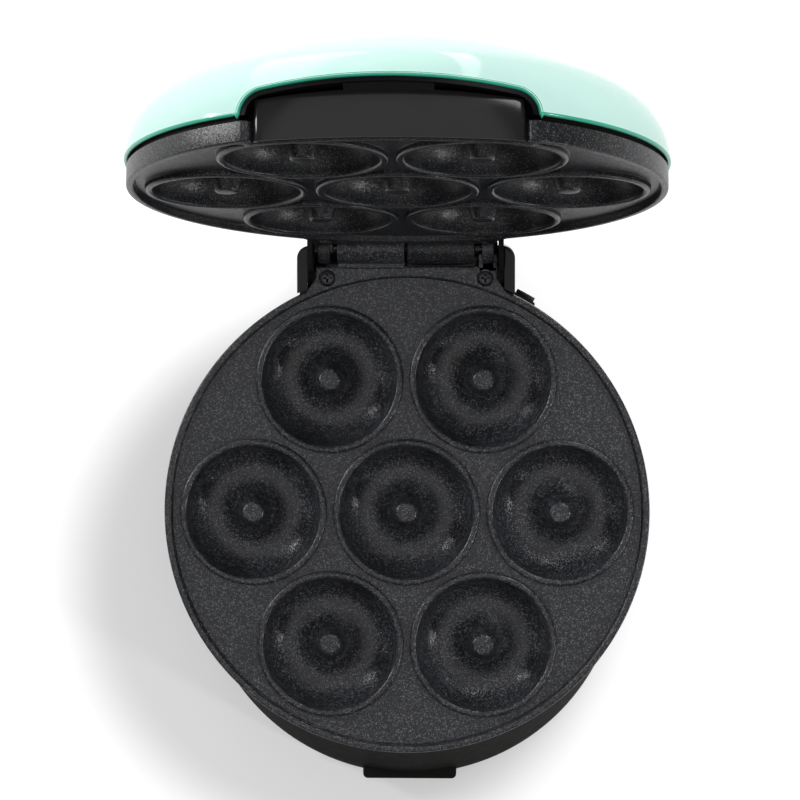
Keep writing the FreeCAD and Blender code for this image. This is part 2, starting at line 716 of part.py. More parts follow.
def oval(radius, front, rear, z):
    """Level outline of two arcs joined by straight sides."""
    return [
        arc((-radius, front, z), (0, front - radius, z), (radius, front, z)),
        line((radius, front, z), (radius, rear, z)),
        arc((radius, rear, z), (0, rear + radius, z), (-radius, rear, z)),
        line((-radius, rear, z), (-radius, front, z)),
    ]


def housing_form(inset, top):
    """Skewed bowl from the round ledge to the oval foot, straight over the foot band."""
    half_flat = HOUSING_TOP_FLAT / 2
    upper = Part.Wire(oval(HOUSING_TOP_R - inset, -half_flat, half_flat, top))
    lower = Part.Wire(oval(HOUSING_R - inset, CHIN_Y, HEEL_Y, BAND_Z))
    bowl = Part.makeLoft([upper, lower], True, True)
    band = prism(oval(HOUSING_R - inset, CHIN_Y, HEEL_Y, BASE_Z), V(0, 0, FOOT_BAND))
    return bowl.fuse(band)


def post_places():
    """Screw posts of the bottom cover, two beside the chin and two beside the heel."""
    places = []
    for angle in POST_ANGLES:
        x, y = polar(HOUSING_R - POST_INSET, angle)
        places.append((x, y + (HEEL_Y if angle < 180 else CHIN_Y)))
    return places


def front_tab():
    half = TAB_WIDTH / 2
    front = CHIN_Y - HOUSING_R - TAB_REACH
    tab = box(-half, half, front, CHIN_Y - HOUSING_R / 2, BASE_Z, BASE_Z + TAB_HEIGHT)
    corners = edges_where(tab, lambda e: is_upright(e) and abs(e.Vertexes[0].Y - front) < 1e-6)
    return tab.makeFillet(TAB_FILLET, corners)


def hinge_block():
    """Rear block: two cheeks above a deck, open to the rear between them."""
    block = box(-BLOCK_HALF, BLOCK_HALF, BLOCK_FRONT, BLOCK_REAR, BASE_Z, CHEEK_RISE)
    corners = edges_where(block, lambda e: is_upright(e) and abs(e.Vertexes[0].Y - BLOCK_REAR) < 1e-6)
    block = block.makeFillet(BLOCK_CORNER, corners)
    rim = edges_where(block, lambda e: abs(e.BoundBox.ZMin - CHEEK_RISE) < 1e-6)
    block = block.makeFillet(CHEEK_EDGE, rim)
    window = box(-WINDOW_HALF, WINDOW_HALF, 0, FAR, DECK_Z, FAR)
    plate_room = cylinder(PLATE_R + RIM_CLEAR, SKIRT_Z, FAR)
    return without(block, window, plate_room)


def flange_posts(z0, z1):
    """Posts under the flange screws, clear of the plate's skirt."""
    room = cylinder(PLATE_R + RIM_CLEAR / 2, -FAR, FAR)
    return [cylinder(POST_R, z0, z1, x, y).cut(room) for x, y in flange_screw_places()]


def fixing_tab(angle, ring_r, z0, z1):
    """Round tab that reaches in from a ledge, drawn on the X axis and turned to its angle."""
    tab = cylinder(FIXING_TAB_R, z0, z1, FIXING_R)
    tab = tab.fuse(box(FIXING_R, ring_r, -FIXING_TAB_R, FIXING_TAB_R, z0, z1))
    tab.rotate(CENTRE, Z_AXIS, angle)
    return tab


def gland_wall():
    """Distance from the plate axis to the outside of the wall, at the gland."""
    share = (SKIRT_Z + GLAND_DROP) / (SKIRT_Z - BAND_Z)
    half_flat = HOUSING_TOP_FLAT / 2
    radius = HOUSING_TOP_R - HOUSING_TAPER * share
    offset_x, offset_y = polar(half_flat + (HEEL_Y - half_flat) * share, GLAND_ANGLE)
    return offset_y + math.sqrt(radius ** 2 - offset_x ** 2)


def along_gland(solid):
    """Turns a solid drawn along Z, from the wall outwards, so that it points out of the rear right wall."""
    copy = moved(solid, 0, 0, gland_wall())
    copy.rotate(CENTRE, V(0, 1, 0), 90)
    copy.rotate(CENTRE, Z_AXIS, GLAND_ANGLE)
    copy.translate(V(0, 0, -GLAND_DROP))
    return copy


def base_housing():
    outer = housing_form(0, SKIRT_Z)
    block_room = box(-BLOCK_HALF + HOUSING_WALL, BLOCK_HALF - HOUSING_WALL, 0, BLOCK_REAR - HOUSING_WALL,
                     BASE_Z, DECK_Z - DECK_THICK)
    gland_seat = along_gland(cylinder(GLAND_SEAT_R, -GLAND_DEPTH, GLAND_PROUD))
    shell = joined(outer, hinge_block(), front_tab(), gland_seat)
    shell = without(shell, housing_form(HOUSING_WALL, LEDGE_Z), block_room,
                    cylinder(LEDGE_INNER_R, LEDGE_Z, SKIRT_Z))
    posts = [cylinder(POST_R, COVER_TOP, POST_TOP, x, y).common(outer) for x, y in post_places()]
    tabs = [fixing_tab(a, LEDGE_INNER_R + LEDGE_THICK, LEDGE_Z, SKIRT_Z) for a in PLATE_FIXING_ANGLES]
    shell = joined(shell, *posts, *tabs, *flange_posts(DECK_Z, FLOOR_BOTTOM))
    pilot = SHANK_R + PILOT_FIT
    holes = [cylinder(pilot, COVER_TOP, COVER_TOP + SCREW_LENGTH, x, y) for x, y in post_places()]
    holes += [cylinder(SHANK_R + HOLE_CLEAR, LEDGE_Z, SKIRT_Z, *polar(FIXING_R, a))
              for a in PLATE_FIXING_ANGLES]
    holes += [cylinder(pilot, FLANGE_TOP - SCREW_SINK - SHORT_SCREW_LENGTH, FLOOR_BOTTOM, x, y)
              for x, y in flange_screw_places()]
    holes.append(along_gland(cylinder(GLAND_R + GLAND_FIT, -GLAND_DEPTH, GLAND_PROUD)))
    holes.append(along_gland(cylinder(GLAND_FLANGE_R + GLAND_FLANGE_CLEAR, GLAND_PROUD, FAR)))
    return without(shell, *holes)


def cord_gland():
    """Bush for the mains cord, its flange outside the wall."""
    bush = cylinder(GLAND_R, -GLAND_DEPTH, GLAND_PROUD)
    rim = cylinder(GLAND_FLANGE_R, GLAND_PROUD, GLAND_PROUD + GLAND_FLANGE)
    bore = cylinder(GLAND_BORE_R, -GLAND_DEPTH, GLAND_PROUD + GLAND_FLANGE)
    return along_gland(joined(bush, rim).cut(bore))


def vents():
    """Two columns of slots across the bottom cover."""
    half = VENT_WIDTH / 2
    slots = []
    for row in range(VENT_ROWS):
        y = (row - (VENT_ROWS - 1) / 2) * VENT_PITCH
        slot = box(VENT_X - VENT_LENGTH / 2, VENT_X + VENT_LENGTH / 2, y - half, y + half, BASE_Z, COVER_TOP)
        slots += both_sides(slot)
    return slots


def bottom_cover():
    inset = HOUSING_WALL + COVER_CLEAR
    plate = prism(oval(HOUSING_R - inset, CHIN_Y, HEEL_Y, BASE_Z), V(0, 0, COVER_THICK))
    tail = box(-BLOCK_HALF + inset, BLOCK_HALF - inset, 0, BLOCK_REAR - inset, BASE_Z, COVER_TOP)
    hole = SHANK_R + HOLE_CLEAR
    holes = [cylinder(hole, BASE_Z, COVER_TOP, x, y) for x, y in post_places()]
    holes.append(cylinder(hole, BASE_Z, COVER_TOP, TERMINAL_X, TERMINAL_Y))
    holes += [cylinder(FOOT_STEM_R, BASE_Z, COVER_TOP, x, y) for x, y in FOOT_PLACES]
    return without(joined(plate, tail), *holes, *vents())


def bottom_screws():
    return group([moved(screw_up(SCREW_LENGTH), x, y, BASE_Z) for x, y in post_places()])


def rubber_feet():
    foot = Part.makeCone(FOOT_TIP_R, FOOT_R, FOOT_HEIGHT, V(0, 0, BASE_Z - FOOT_HEIGHT), Z_AXIS)
    foot = joined(foot, cylinder(FOOT_STEM_R, BASE_Z, COVER_TOP))
    return group([moved(foot, x, y, 0) for x, y in FOOT_PLACES])


def terminal_block():
    """Three-way connector on the bottom cover."""
    x0, y0 = TERMINAL_X - TERMINAL_WIDTH / 2, TERMINAL_Y - TERMINAL_LENGTH / 2
    body = box(x0, x0 + TERMINAL_WIDTH, y0, y0 + TERMINAL_LENGTH, COVER_TOP, COVER_TOP + TERMINAL_HEIGHT)
    pitch = TERMINAL_LENGTH / TERMINAL_WAYS
    bore_z = COVER_TOP + TERMINAL_HEIGHT - TERMINAL_BORE_RISE
    tools = [cylinder(SHANK_R + PILOT_FIT, COVER_TOP, bore_z - TERMINAL_BORE_R - SHANK_R,
                      TERMINAL_X, TERMINAL_Y)]
    for way in range(TERMINAL_WAYS):
        y = y0 + pitch * (way + 0.5)
        tools.append(cylinder_x(TERMINAL_BORE_R, x0, x0 + TERMINAL_WIDTH, y, bore_z))
        tools.append(cylinder(TERMINAL_PORT_R, bore_z, COVER_TOP + TERMINAL_HEIGHT, TERMINAL_X, y))
    return without(body, *tools)


def terminal_screw():
    return moved(screw_up(SHORT_SCREW_LENGTH), TERMINAL_X, TERMINAL_Y, BASE_Z)


# Lid, drawn closed


def dome_solid(inset):
    """Dome over the lid's rim: a tight shoulder that runs on into a flat crown."""
    shoulder_r, crown_r = LID_SHOULDER_R - inset, LID_CROWN_R - inset
    centre_x, centre_z = LID_R - LID_SHOULDER_R, LID_RIM_Z + LID_RISE - LID_CROWN_R
    turn = math.atan2(LID_RIM_Z - centre_z, centre_x)

    def on_shoulder(angle):
        return centre_x + shoulder_r * math.cos(angle), 0, LID_RIM_Z + shoulder_r * math.sin(angle)

    def on_crown(angle):
        return crown_r * math.cos(angle), 0, centre_z + crown_r * math.sin(angle)

    foot, apex = (0, 0, LID_RIM_Z), (0, 0, centre_z + crown_r)
    return turned([
        line(foot, on_shoulder(0)),
        arc(on_shoulder(0), on_shoulder(turn / 2), on_shoulder(turn)),
        arc(on_crown(turn), on_crown((turn + math.pi / 2) / 2), apex),
        line(apex, foot),
    ])


def arch(inset, front, rear):
    """Slot in the front of the dome: upright sides, round shoulders and a crowned top."""
    half, top_r, shoulder_r = ARCH_HALF - inset, ARCH_TOP_R - inset, ARCH_SHOULDER_R - inset
    centre_z = ARCH_CROWN - ARCH_TOP_R
    shoulder_x = half - shoulder_r
    spring_z = centre_z + math.sqrt((top_r - shoulder_r) ** 2 - shoulder_x ** 2)
    lean = math.atan2(spring_z - centre_z, shoulder_x)
    side, crown = (half, front, spring_z), (0, front, ARCH_CROWN - inset)
    joint = (top_r * math.cos(lean), front, centre_z + top_r * math.sin(lean))
    bulge = (shoulder_x + shoulder_r * math.cos(lean / 2), front, spring_z + shoulder_r * math.sin(lean / 2))

    def across(point):
        return -point[0], point[1], point[2]

    edges = [
        line((-half, front, 0), across(side)),
        arc(across(side), across(bulge), across(joint)),
        arc(across(joint), crown, joint),
        arc(joint, bulge, side),
        line(side, (half, front, 0)),
        line((half, front, 0), (-half, front, 0)),
    ]
    return prism(edges, V(0, rear - front, 0))


def lens_place(solid):
    """Stands a solid drawn along Z on the dome's crown, square to its surface, in front of the apex."""
    lean = math.asin(LENS_Y / LID_CROWN_R)
    copy = solid.copy()
    copy.rotate(CENTRE, X_AXIS, math.degrees(lean))
    copy.translate(V(0, -LENS_Y, LID_RIM_Z + LID_RISE - LID_CROWN_R * (1 - math.cos(lean))))
    return copy


def lid_cover():
    outer = dome_solid(0)
    shell = outer.cut(dome_solid(LID_WALL)).cut(arch(0, -FAR, -PLATE_R / 2))
    bosses = [cylinder(POST_R, COVER_TAB_TOP, FAR, *polar(FIXING_R, a)) for a in COVER_FIXING_ANGLES]
    lamp_tube = lens_place(cylinder(LENS_R + LENS_FIT + LAMP_TUBE_WALL, -LAMP_TUBE_LENGTH, 0))
    shell = joined(shell, *[piece.common(outer) for piece in bosses + [lamp_tube]])
    pilot_end = COVER_TAB_Z + SCREW_LENGTH
    pilots = [cylinder(SHANK_R + PILOT_FIT, COVER_TAB_TOP, pilot_end, *polar(FIXING_R, a))
              for a in COVER_FIXING_ANGLES]
    lamp_bore = lens_place(cylinder(LENS_R + LENS_FIT, -LAMP_TUBE_LENGTH, LENS_R))
    return without(shell, lamp_bore, *pilots)


def indicator_lens():
    body = cylinder(LENS_R, -LENS_LENGTH, 0)
    cap = turned([
        line((0, 0, 0), (LENS_R, 0, 0)),
        cap_arc(LENS_R, 0, LENS_PROUD),
        line((0, 0, LENS_PROUD), (0, 0, 0)),
    ])
    return lens_place(joined(body, cap))


def indicator_lamp():
    """Bulb on a round base that sits in the lamp tube, up against the lens."""
    bulb = cylinder(LAMP_R, -LENS_LENGTH - LAMP_LENGTH, -LENS_LENGTH)
    bottom = -LENS_LENGTH - LAMP_LENGTH
    return lens_place(joined(bulb, cylinder(LENS_R, bottom, bottom + LAMP_BASE)))


def dome_room():
    """Space that the liner leaves round the dome's rim, behind the lid."""
    return cylinder(LID_R + HOOD_GAP, LID_RIM_Z - HOOD_GAP, FAR)


def hood():
    """Hinge cover behind the dome, joined to the liner under the dome's rim."""
    cover = box(-EAR_OUTER, EAR_OUTER, 0, HOOD_REAR, LINER_Z, HOOD_TOP)
    edge = edges_where(cover, lambda e: abs(e.BoundBox.YMin - HOOD_REAR) < 1e-6
                       and abs(e.BoundBox.ZMin - HOOD_TOP) < 1e-6)
    cover = cover.makeFillet(HOOD_EDGE, edge)
    plate_room = cylinder(LINER_OUTER_R - RIM_WIDTH, -FAR, FAR)
    return without(cover, dome_room(), plate_room)


def stop_lug():
    """Nose on each ear, drawn as it stands behind the rear wall of the open part."""
    y = BLOCK_REAR + STOP_GAP
    nose = box(EAR_INNER, EAR_OUTER, y, y + STOP_WIDTH, DECK_Z - STOP_DEPTH, 0)
    nose.rotate(V(0, HINGE_Y, 0), X_AXIS, OPEN_ANGLE)
    return nose


def lid_liner():
    """Frame inside the dome's rim with the hood, the hinge ears and the fixing tabs."""
    frame = tube(LINER_OUTER_R, LEDGE_INNER_R, LINER_Z, LINER_TOP)
    gap_half = ARCH_HALF + FRAME_GAP
    gap = box(-gap_half, gap_half, -FAR, 0, -FAR, FAR)
    tab_reach = LEDGE_INNER_R + LEDGE_THICK
    tab_top = LINER_Z + LEDGE_THICK
    tabs = [fixing_tab(a, tab_reach, LINER_Z, tab_top) for a in PLATE_FIXING_ANGLES]
    tabs += [fixing_tab(a, tab_reach, COVER_TAB_Z, COVER_TAB_TOP) for a in COVER_FIXING_ANGLES]
    ears = both_sides(cylinder_x(EAR_R, EAR_INNER, EAR_OUTER, HINGE_Y, 0)) + both_sides(stop_lug())
    posts = [post.cut(dome_room()) for post in flange_posts(-FLOOR_BOTTOM, HOOD_TOP)]
    solid = joined(frame.cut(gap), *tabs, hood(), *ears, *posts)
    hole = SHANK_R + HOLE_CLEAR
    holes = [cylinder(hole, LINER_Z, LINER_TOP, *polar(FIXING_R, a))
             for a in PLATE_FIXING_ANGLES + COVER_FIXING_ANGLES]
    pilot_end = -FLANGE_TOP + SCREW_SINK + SHORT_SCREW_LENGTH
    holes += [cylinder(SHANK_R + PILOT_FIT, 0, pilot_end, x, y) for x, y in flange_screw_places()]
    holes += [cylinder(SMALL_SHANK_R + PILOT_FIT, LINER_Z, LINER_TOP, x, y)
              for x, y in handle_screw_places()]
    return without(solid, *holes)


def cover_screws():
    return group([moved(screw_up(SCREW_LENGTH), *polar(FIXING_R, a), COVER_TAB_Z)
                  for a in COVER_FIXING_ANGLES])


def handle_screw_places():
    y = -math.sqrt(HANDLE_SCREW_R ** 2 - HANDLE_SCREW_X ** 2)
    return [(-HANDLE_SCREW_X, y), (HANDLE_SCREW_X, y)]


def grip_wall():
    """Bowed black face of the grip with round upright corners and a crowned top."""
    bow = cylinder(GRIP_OUTER_R, GRIP_BOTTOM, GRIP_CROWN, 0, NOTCH_ARC_Y)
    bow = bow.cut(cylinder(GRIP_INNER_R, GRIP_BOTTOM, GRIP_CROWN, 0, NOTCH_ARC_Y))
    bow = bow.common(box(-GRIP_HALF, GRIP_HALF, -FAR, 0, GRIP_BOTTOM, GRIP_CROWN))
    face_y = NOTCH_ARC_Y - math.sqrt(GRIP_OUTER_R ** 2 - GRIP_HALF ** 2)
    corners = edges_where(bow, lambda e: is_upright(e) and abs(e.Vertexes[0].Y - face_y) < 1e-4
                          and abs(abs(e.Vertexes[0].X) - GRIP_HALF) < 1e-4)
    bow = bow.makeFillet(GRIP_CORNER, corners)
    crown = prism([
        line((-GRIP_HALF, -FAR, GRIP_BOTTOM), (-GRIP_HALF, -FAR, GRIP_SIDE_TOP)),
        arc((-GRIP_HALF, -FAR, GRIP_SIDE_TOP), (0, -FAR, GRIP_CROWN), (GRIP_HALF, -FAR, GRIP_SIDE_TOP)),
        line((GRIP_HALF, -FAR, GRIP_SIDE_TOP), (GRIP_HALF, -FAR, GRIP_BOTTOM)),
        line((GRIP_HALF, -FAR, GRIP_BOTTOM), (-GRIP_HALF, -FAR, GRIP_BOTTOM)),
    ], V(0, FAR, 0))
    return bow.common(crown)


def grip_tab():
    """Middle of the grip, leaning forward from the top of the face to the arch."""
    half = GRIP_TAB_WIDTH / 2
    face = NOTCH_ARC_Y - math.sqrt(GRIP_OUTER_R ** 2 - half ** 2)
    foot = GRIP_CROWN - GRIP_THICK
    tip_y, tip_z = face - GRIP_TAB_LEAN, GRIP_CROWN + GRIP_TAB_RISE
    points = [(-half, face, foot), (-half, face, GRIP_CROWN), (-half, tip_y, tip_z - GRIP_THICK / 2),
              (-half, tip_y, tip_z), (-half, face + GRIP_THICK, GRIP_CROWN + GRIP_THICK / 2),
              (-half, face + GRIP_THICK, foot)]
    return polygon_prism(points, V(GRIP_TAB_WIDTH, 0, 0))


def lid_handle():
    """Grip face, its tab, the lining of the arch and a fixing lug on each side."""
    inside = dome_solid(FRAME_SINK)
    depth = arch(FRAME_GAP, -FAR, -math.sqrt(LID_R ** 2 - ARCH_HALF ** 2) + FRAME_DEPTH / 2)
    lining = depth.cut(arch(FRAME_GAP + FRAME_THICK, -FAR, 0)).common(inside)
    lining = lining.cut(box(-FAR, FAR, -FAR, FAR, -FAR, LID_RIM_Z))
    lug_plate = tube(LINER_OUTER_R, LEDGE_INNER_R, LINER_TOP, LINER_TOP + LUG_PLATE)
    lug_plate = lug_plate.common(box(LUG_PLATE_START, LUG_PLATE_HALF, -FAR, 0, 0, FAR))
    lug_plate = lug_plate.common(dome_solid(LID_WALL + FRAME_GAP))
    tab = grip_tab().common(inside).common(depth)
    solid = joined(lining, grip_wall(), tab, *both_sides(lug_plate))
    holes = [cylinder(SMALL_SHANK_R + HOLE_CLEAR, 0, FAR, x, y) for x, y in handle_screw_places()]
    return without(solid, *holes)


def handle_screws():
    z = LINER_TOP + LUG_PLATE
    small = screw(SCREW_LENGTH, SMALL_SHANK_R, SMALL_HEAD_R)
    return group([moved(small, x, y, z) for x, y in handle_screw_places()])


# Assembly


def base_pieces():
    return {
        "base_housing": base_housing(),
        "bottom_cover": bottom_cover(),
        "bottom_screws": bottom_screws(),
        "rubber_feet": rubber_feet(),
        "lower_plate": casting(False, PIN_R + PIN_FIT),
        "flange_screws": flange_screws(),
        "plate_screws": plate_screws(),
        "lower_heater": heater(),
        "lower_heat_shield": lower_heat_shield(),
        "lower_shield_screws": shield_screws(),
        "thermostat": thermostat(),
        "thermostat_rivets": thermostat_rivets(),
        "thermal_fuse": thermal_fuse(),
        "fuse_clip": fuse_clip(),
        "terminal_block": terminal_block(),
        "terminal_screw": terminal_screw(),
        "cord_gland": cord_gland(),
        "hinge_pin": hinge_pin(),
    }


def lid_pieces():
    return {
        "lid_cover": lid_cover(),
        "lid_liner": lid_liner(),
        "cover_screws": cover_screws(),
        "lid_handle": lid_handle(),
        "handle_screws": handle_screws(),
        "upper_plate": turned_over(casting(True, PIN_R + RUN_CLEAR)),
        "upper_flange_screws": turned_over(flange_screws()),
        "upper_plate_screws": turned_over(plate_screws()),
        "upper_heater": turned_over(heater()),
        "upper_heat_shield": turned_over(heat_shield()),
        "upper_shield_screws": turned_over(shield_screws()),
        "indicator_lens": indicator_lens(),
        "indicator_lamp": indicator_lamp(),
    }


def main():
    os.makedirs("parts", exist_ok=True)
    pieces = base_pieces()
    for name, solid in lid_pieces().items():
        solid.rotate(V(0, HINGE_Y, 0), X_AXIS, -OPEN_ANGLE)
        pieces[name] = solid
    # The origin is the middle of the open part's outline, on the table.
    room = group(list(pieces.values())).optimalBoundingBox()
    shift = V(-room.Center.x, -room.Center.y, BASE_HEIGHT + FOOT_HEIGHT)
    for name, solid in pieces.items():
        solid.translate(shift)
        solid.exportStep("parts/%s.step" % name)
        print("%-20s solids %d volume %.0f valid %s"
              % (name, len(solid.Solids), solid.Volume, solid.isValid()))
    print("plate axis moved by %.3f %.3f %.3f" % (shift.x, shift.y, shift.z))


main()
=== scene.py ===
"""Looks of a table-top donut maker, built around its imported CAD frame.

Every piece is drawn in millimetres in the plate frame: origin on the plate axis, Z = 0 on the parting
plane, hinge towards +Y and the lid closed. A Placement then puts it where the CAD bodies stand.
"""
import json
import logging
import math
from dataclasses import dataclass
from enum import Enum
from typing import Any, Callable, Iterable, Optional, Sequence

import bmesh
import bpy
from mathutils import Matrix, Vector


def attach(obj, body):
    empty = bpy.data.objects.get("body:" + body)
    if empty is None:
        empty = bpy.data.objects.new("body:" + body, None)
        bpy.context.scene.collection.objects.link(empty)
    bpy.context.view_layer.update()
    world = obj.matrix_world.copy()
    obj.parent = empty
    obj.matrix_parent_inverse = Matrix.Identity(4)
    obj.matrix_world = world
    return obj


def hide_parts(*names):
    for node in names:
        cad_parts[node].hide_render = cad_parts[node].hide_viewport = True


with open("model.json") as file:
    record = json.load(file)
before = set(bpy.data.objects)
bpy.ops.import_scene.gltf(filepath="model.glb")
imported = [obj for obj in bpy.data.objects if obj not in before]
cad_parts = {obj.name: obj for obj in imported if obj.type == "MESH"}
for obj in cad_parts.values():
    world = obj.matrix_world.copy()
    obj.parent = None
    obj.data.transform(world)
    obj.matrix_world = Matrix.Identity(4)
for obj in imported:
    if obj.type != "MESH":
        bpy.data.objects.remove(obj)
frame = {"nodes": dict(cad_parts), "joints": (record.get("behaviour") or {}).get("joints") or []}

LOG = logging.getLogger("donut_maker")
MM = 0.001
MERGE_MM = 1e-4
SLIVER_MM = 1e-5
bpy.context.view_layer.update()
Point = tuple[float, float, float]
Flat = tuple[float, float]
Solid = bmesh.types.BMesh
Vert = bmesh.types.BMVert
Item = bpy.types.Object
Tree = bpy.types.NodeTree
Socket = bpy.types.NodeSocket


class Side(Enum):
    """The CAD body that a piece rides on."""

    BASE = "base"
    LID = "lid"


class Facing(Enum):
    """Which way a casting's cavities open while the lid is closed."""

    UP = 0.0
    DOWN = math.pi


# Small tools


def srgb(code: str) -> tuple[float, float, float, float]:
    """Turns an sRGB hex code into a linear colour.

    Args:
        code: colour as "#RRGGBB".

    Returns:
        Linear red, green, blue and an alpha of one.
    """
    parts = [int(code[i:i + 2], 16) / 255 for i in (1, 3, 5)]
    linear = [c / 12.92 if c <= 0.04045 else ((c + 0.055) / 1.055) ** 2.4 for c in parts]
    return linear[0], linear[1], linear[2], 1.0


def add_node(tree: Tree, kind: str, settings: Optional[dict[Any, Any]] = None,
             links: Optional[dict[Any, Socket]] = None) -> bpy.types.Node:
    """Adds one shader node with its settings and incoming links.

    Args:
        tree: node tree that gets the node.
        kind: Blender's name for the node type.
        settings: attribute, input name or input number to value.
        links: input name or number to the socket that feeds it.

    Returns:
        The new node.
    """
    node = tree.nodes.new(kind)
    for key, value in (settings or {}).items():
        if isinstance(key, str) and hasattr(node, key):
            setattr(node, key, value)
        else:
            node.inputs[key].default_value = value
    for key, socket in (links or {}).items():
        tree.links.new(socket, node.inputs[key])
    return node


def per_mm(size_mm: float) -> float:
    """Texture scale at which one cell of a pattern is the given size in millimetres."""
    return 1.0 / (size_mm * MM)


def sweep(centre: Flat, radius: float, start: float, end: float, steps: int) -> list[Flat]:
    """Points along an arc, both ends included.

    Args:
        centre: middle of the arc.
        radius: its radius.
        start: first angle in degrees.
        end: last angle in degrees.
        steps: number of segments.

    Returns:
        The points in order.
    """
    angles = [math.radians(start + (end - start) * i / steps) for i in range(steps + 1)]
    return [(centre[0] + radius * math.cos(a), centre[1] + radius * math.sin(a)) for a in angles]


def bend(wall: Flat, bottom: Flat, steps: int = 12) -> list[Flat]:
    """Quarter bend from an upright wall to a level bottom.

    Args:
        wall: where the bend leaves the wall.
        bottom: where it meets the bottom.
        steps: number of segments.

    Returns:
        The points in order, both ends included.
    """
    turns = [math.pi / 2 * i / steps for i in range(steps + 1)]
    return [(bottom[0] + (wall[0] - bottom[0]) * math.cos(t), wall[1] + (bottom[1] - wall[1]) * math.sin(t))
            for t in turns]


def at_height(points: Iterable[Flat], z: float) -> list[Point]:
    """Lifts flat points to one height."""
    return [(x, y, z) for x, y in points]


def only_verts(made: Iterable[Any]) -> list[Vert]:
    """The vertices among what an operator made."""
    return [v for v in made if isinstance(v, Vert)]


def loop_verts(bm: Solid, points: Sequence[Point]) -> list[Vert]:
    """Adds a closed loop of edges through points.

    Args:
        bm: mesh that gets the loop.
        points: its corners in order.

    Returns:
        The loop's vertices.
    """
    verts = [bm.verts.new(p) for p in points]
    for a, b in zip(verts, verts[1:] + verts[:1]):
        bm.edges.new((a, b))
    return verts


def loop_edges(bm: Solid, verts: Sequence[Vert]) -> list[bmesh.types.BMEdge]:
    """The edges of a closed loop of vertices."""
    return [bm.edges.get((a, b)) for a, b in zip(verts, list(verts[1:]) + [verts[0]])]


def extrude_loop(bm: Solid, verts: Sequence[Vert], points: Sequence[Point]) -> list[Vert]:
    """Extrudes a closed loop to new places.

    Args:
        bm: mesh that holds the loop.
        verts: the loop's vertices in order.
        points: where each of them goes.

    Returns:
        The new loop's vertices in the same order.
    """
    made = bmesh.ops.extrude_edge_only(bm, edges=loop_edges(bm, verts))["geom"]
    fresh = set(only_verts(made))
    twins = [next(e.other_vert(v) for e in v.link_edges if e.other_vert(v) in fresh) for v in verts]
    for twin, point in zip(twins, points):
        twin.co = point
    return twins


def skinned(loops: Sequence[Sequence[Point]], ring: bool) -> Solid:
    """Skins a row of loops into a closed solid.

    Args:
        loops: closed loops with equally many points.
        ring: joins the last loop to the first; otherwise both ends are filled.

    Returns:
        The solid.
    """
    bm = bmesh.new()
    first = loop_verts(bm, loops[0])
    last = first
    for points in list(loops[1:]) + ([loops[0]] if ring else []):
        last = extrude_loop(bm, last, points)
    if not ring:
        for verts in (first, last):
            bmesh.ops.contextual_create(bm, geom=loop_edges(bm, verts))
    tidy(bm)
    return bm


def triangled(bm: Solid) -> Solid:
    """Cuts the many-sided ends of a solid into triangles."""
    bmesh.ops.triangulate(bm, faces=[f for f in bm.faces if len(f.verts) > 4])
    return bm


def tidy(bm: Solid) -> None:
    """Merges doubles and points every face outwards."""
    bmesh.ops.remove_doubles(bm, verts=bm.verts[:], dist=MERGE_MM)
    bmesh.ops.recalc_face_normals(bm, faces=bm.faces[:])


def spun(profile: Sequence[Flat], steps: int, place: Matrix = Matrix.Identity(4)) -> Solid:
    """Spins a closed profile about the Z axis.

    Args:
        profile: radius and height of each corner.
        steps: number of segments round the axis.
        place: where the finished solid goes.

    Returns:
        The solid.
    """
    bm = bmesh.new()
    verts = loop_verts(bm, [(r, 0.0, z) for r, z in profile])
    bmesh.ops.spin(bm, geom=verts + loop_edges(bm, verts), cent=(0, 0, 0), axis=(0, 0, 1),
                   angle=2 * math.pi, steps=steps, use_merge=True)
    bmesh.ops.dissolve_degenerate(bm, dist=SLIVER_MM, edges=bm.edges[:])
    tidy(bm)
    bmesh.ops.transform(bm, matrix=place, verts=bm.verts[:])
    return bm


def extruded(outline: Sequence[Point], along: Point, edge: float = 0.0) -> Solid:
    """Extrudes a flat outline and rounds its edges.

    Args:
        outline: corners of the flat face.
        along: extrusion vector.
        edge: radius on every sharp edge.

    Returns:
        The solid.
    """
    bm = bmesh.new()
    face = bmesh.ops.contextual_create(bm, geom=loop_edges(bm, loop_verts(bm, outline)))["faces"][0]
    made = bmesh.ops.extrude_face_region(bm, geom=[face], use_keep_orig=True)["geom"]
    bmesh.ops.translate(bm, verts=only_verts(made), vec=along)
    tidy(bm)
    if edge:
        round_edges(bm, edge)
    return bm


def round_edges(bm: Solid, radius: float, least: float = 30.0,
                test: Callable[[bmesh.types.BMEdge], bool] = lambda edge: True) -> None:
    """Rounds the sharp edges of a solid.

    Args:
        bm: the solid.
        radius: radius of the rounding.
        least: smallest angle between two faces that counts as sharp, in degrees.
        test: picks which of the sharp edges are rounded.
    """
    sharp = [e for e in bm.edges if len(e.link_faces) == 2 and test(e)
             and math.degrees(e.calc_face_angle(0.0)) > least]
    bmesh.ops.bevel(bm, geom=sharp, offset=radius, offset_type="OFFSET", affect="EDGES", segments=3,
                    profile=0.5, material=-1, clamp_overlap=True)
    tidy(bm)


def as_mesh(name: str, bm: Solid) -> bpy.types.Mesh:
    """Writes a solid into a new mesh.

    Args:
        name: the mesh's name.
        bm: the solid; it is freed.

    Returns:
        The mesh.
    """
    mesh = bpy.data.meshes.new(name)
    bm.to_mesh(mesh)
    bm.free()
    return mesh


def add_object(name: str, data: bpy.types.ID) -> Item:
    """Adds an object to the scene.

    Args:
        name: the object's name.
        data: its mesh, lamp or camera.

    Returns:
        The object.
    """
    item = bpy.data.objects.new(name, data)
    bpy.context.scene.collection.objects.link(item)
    return item


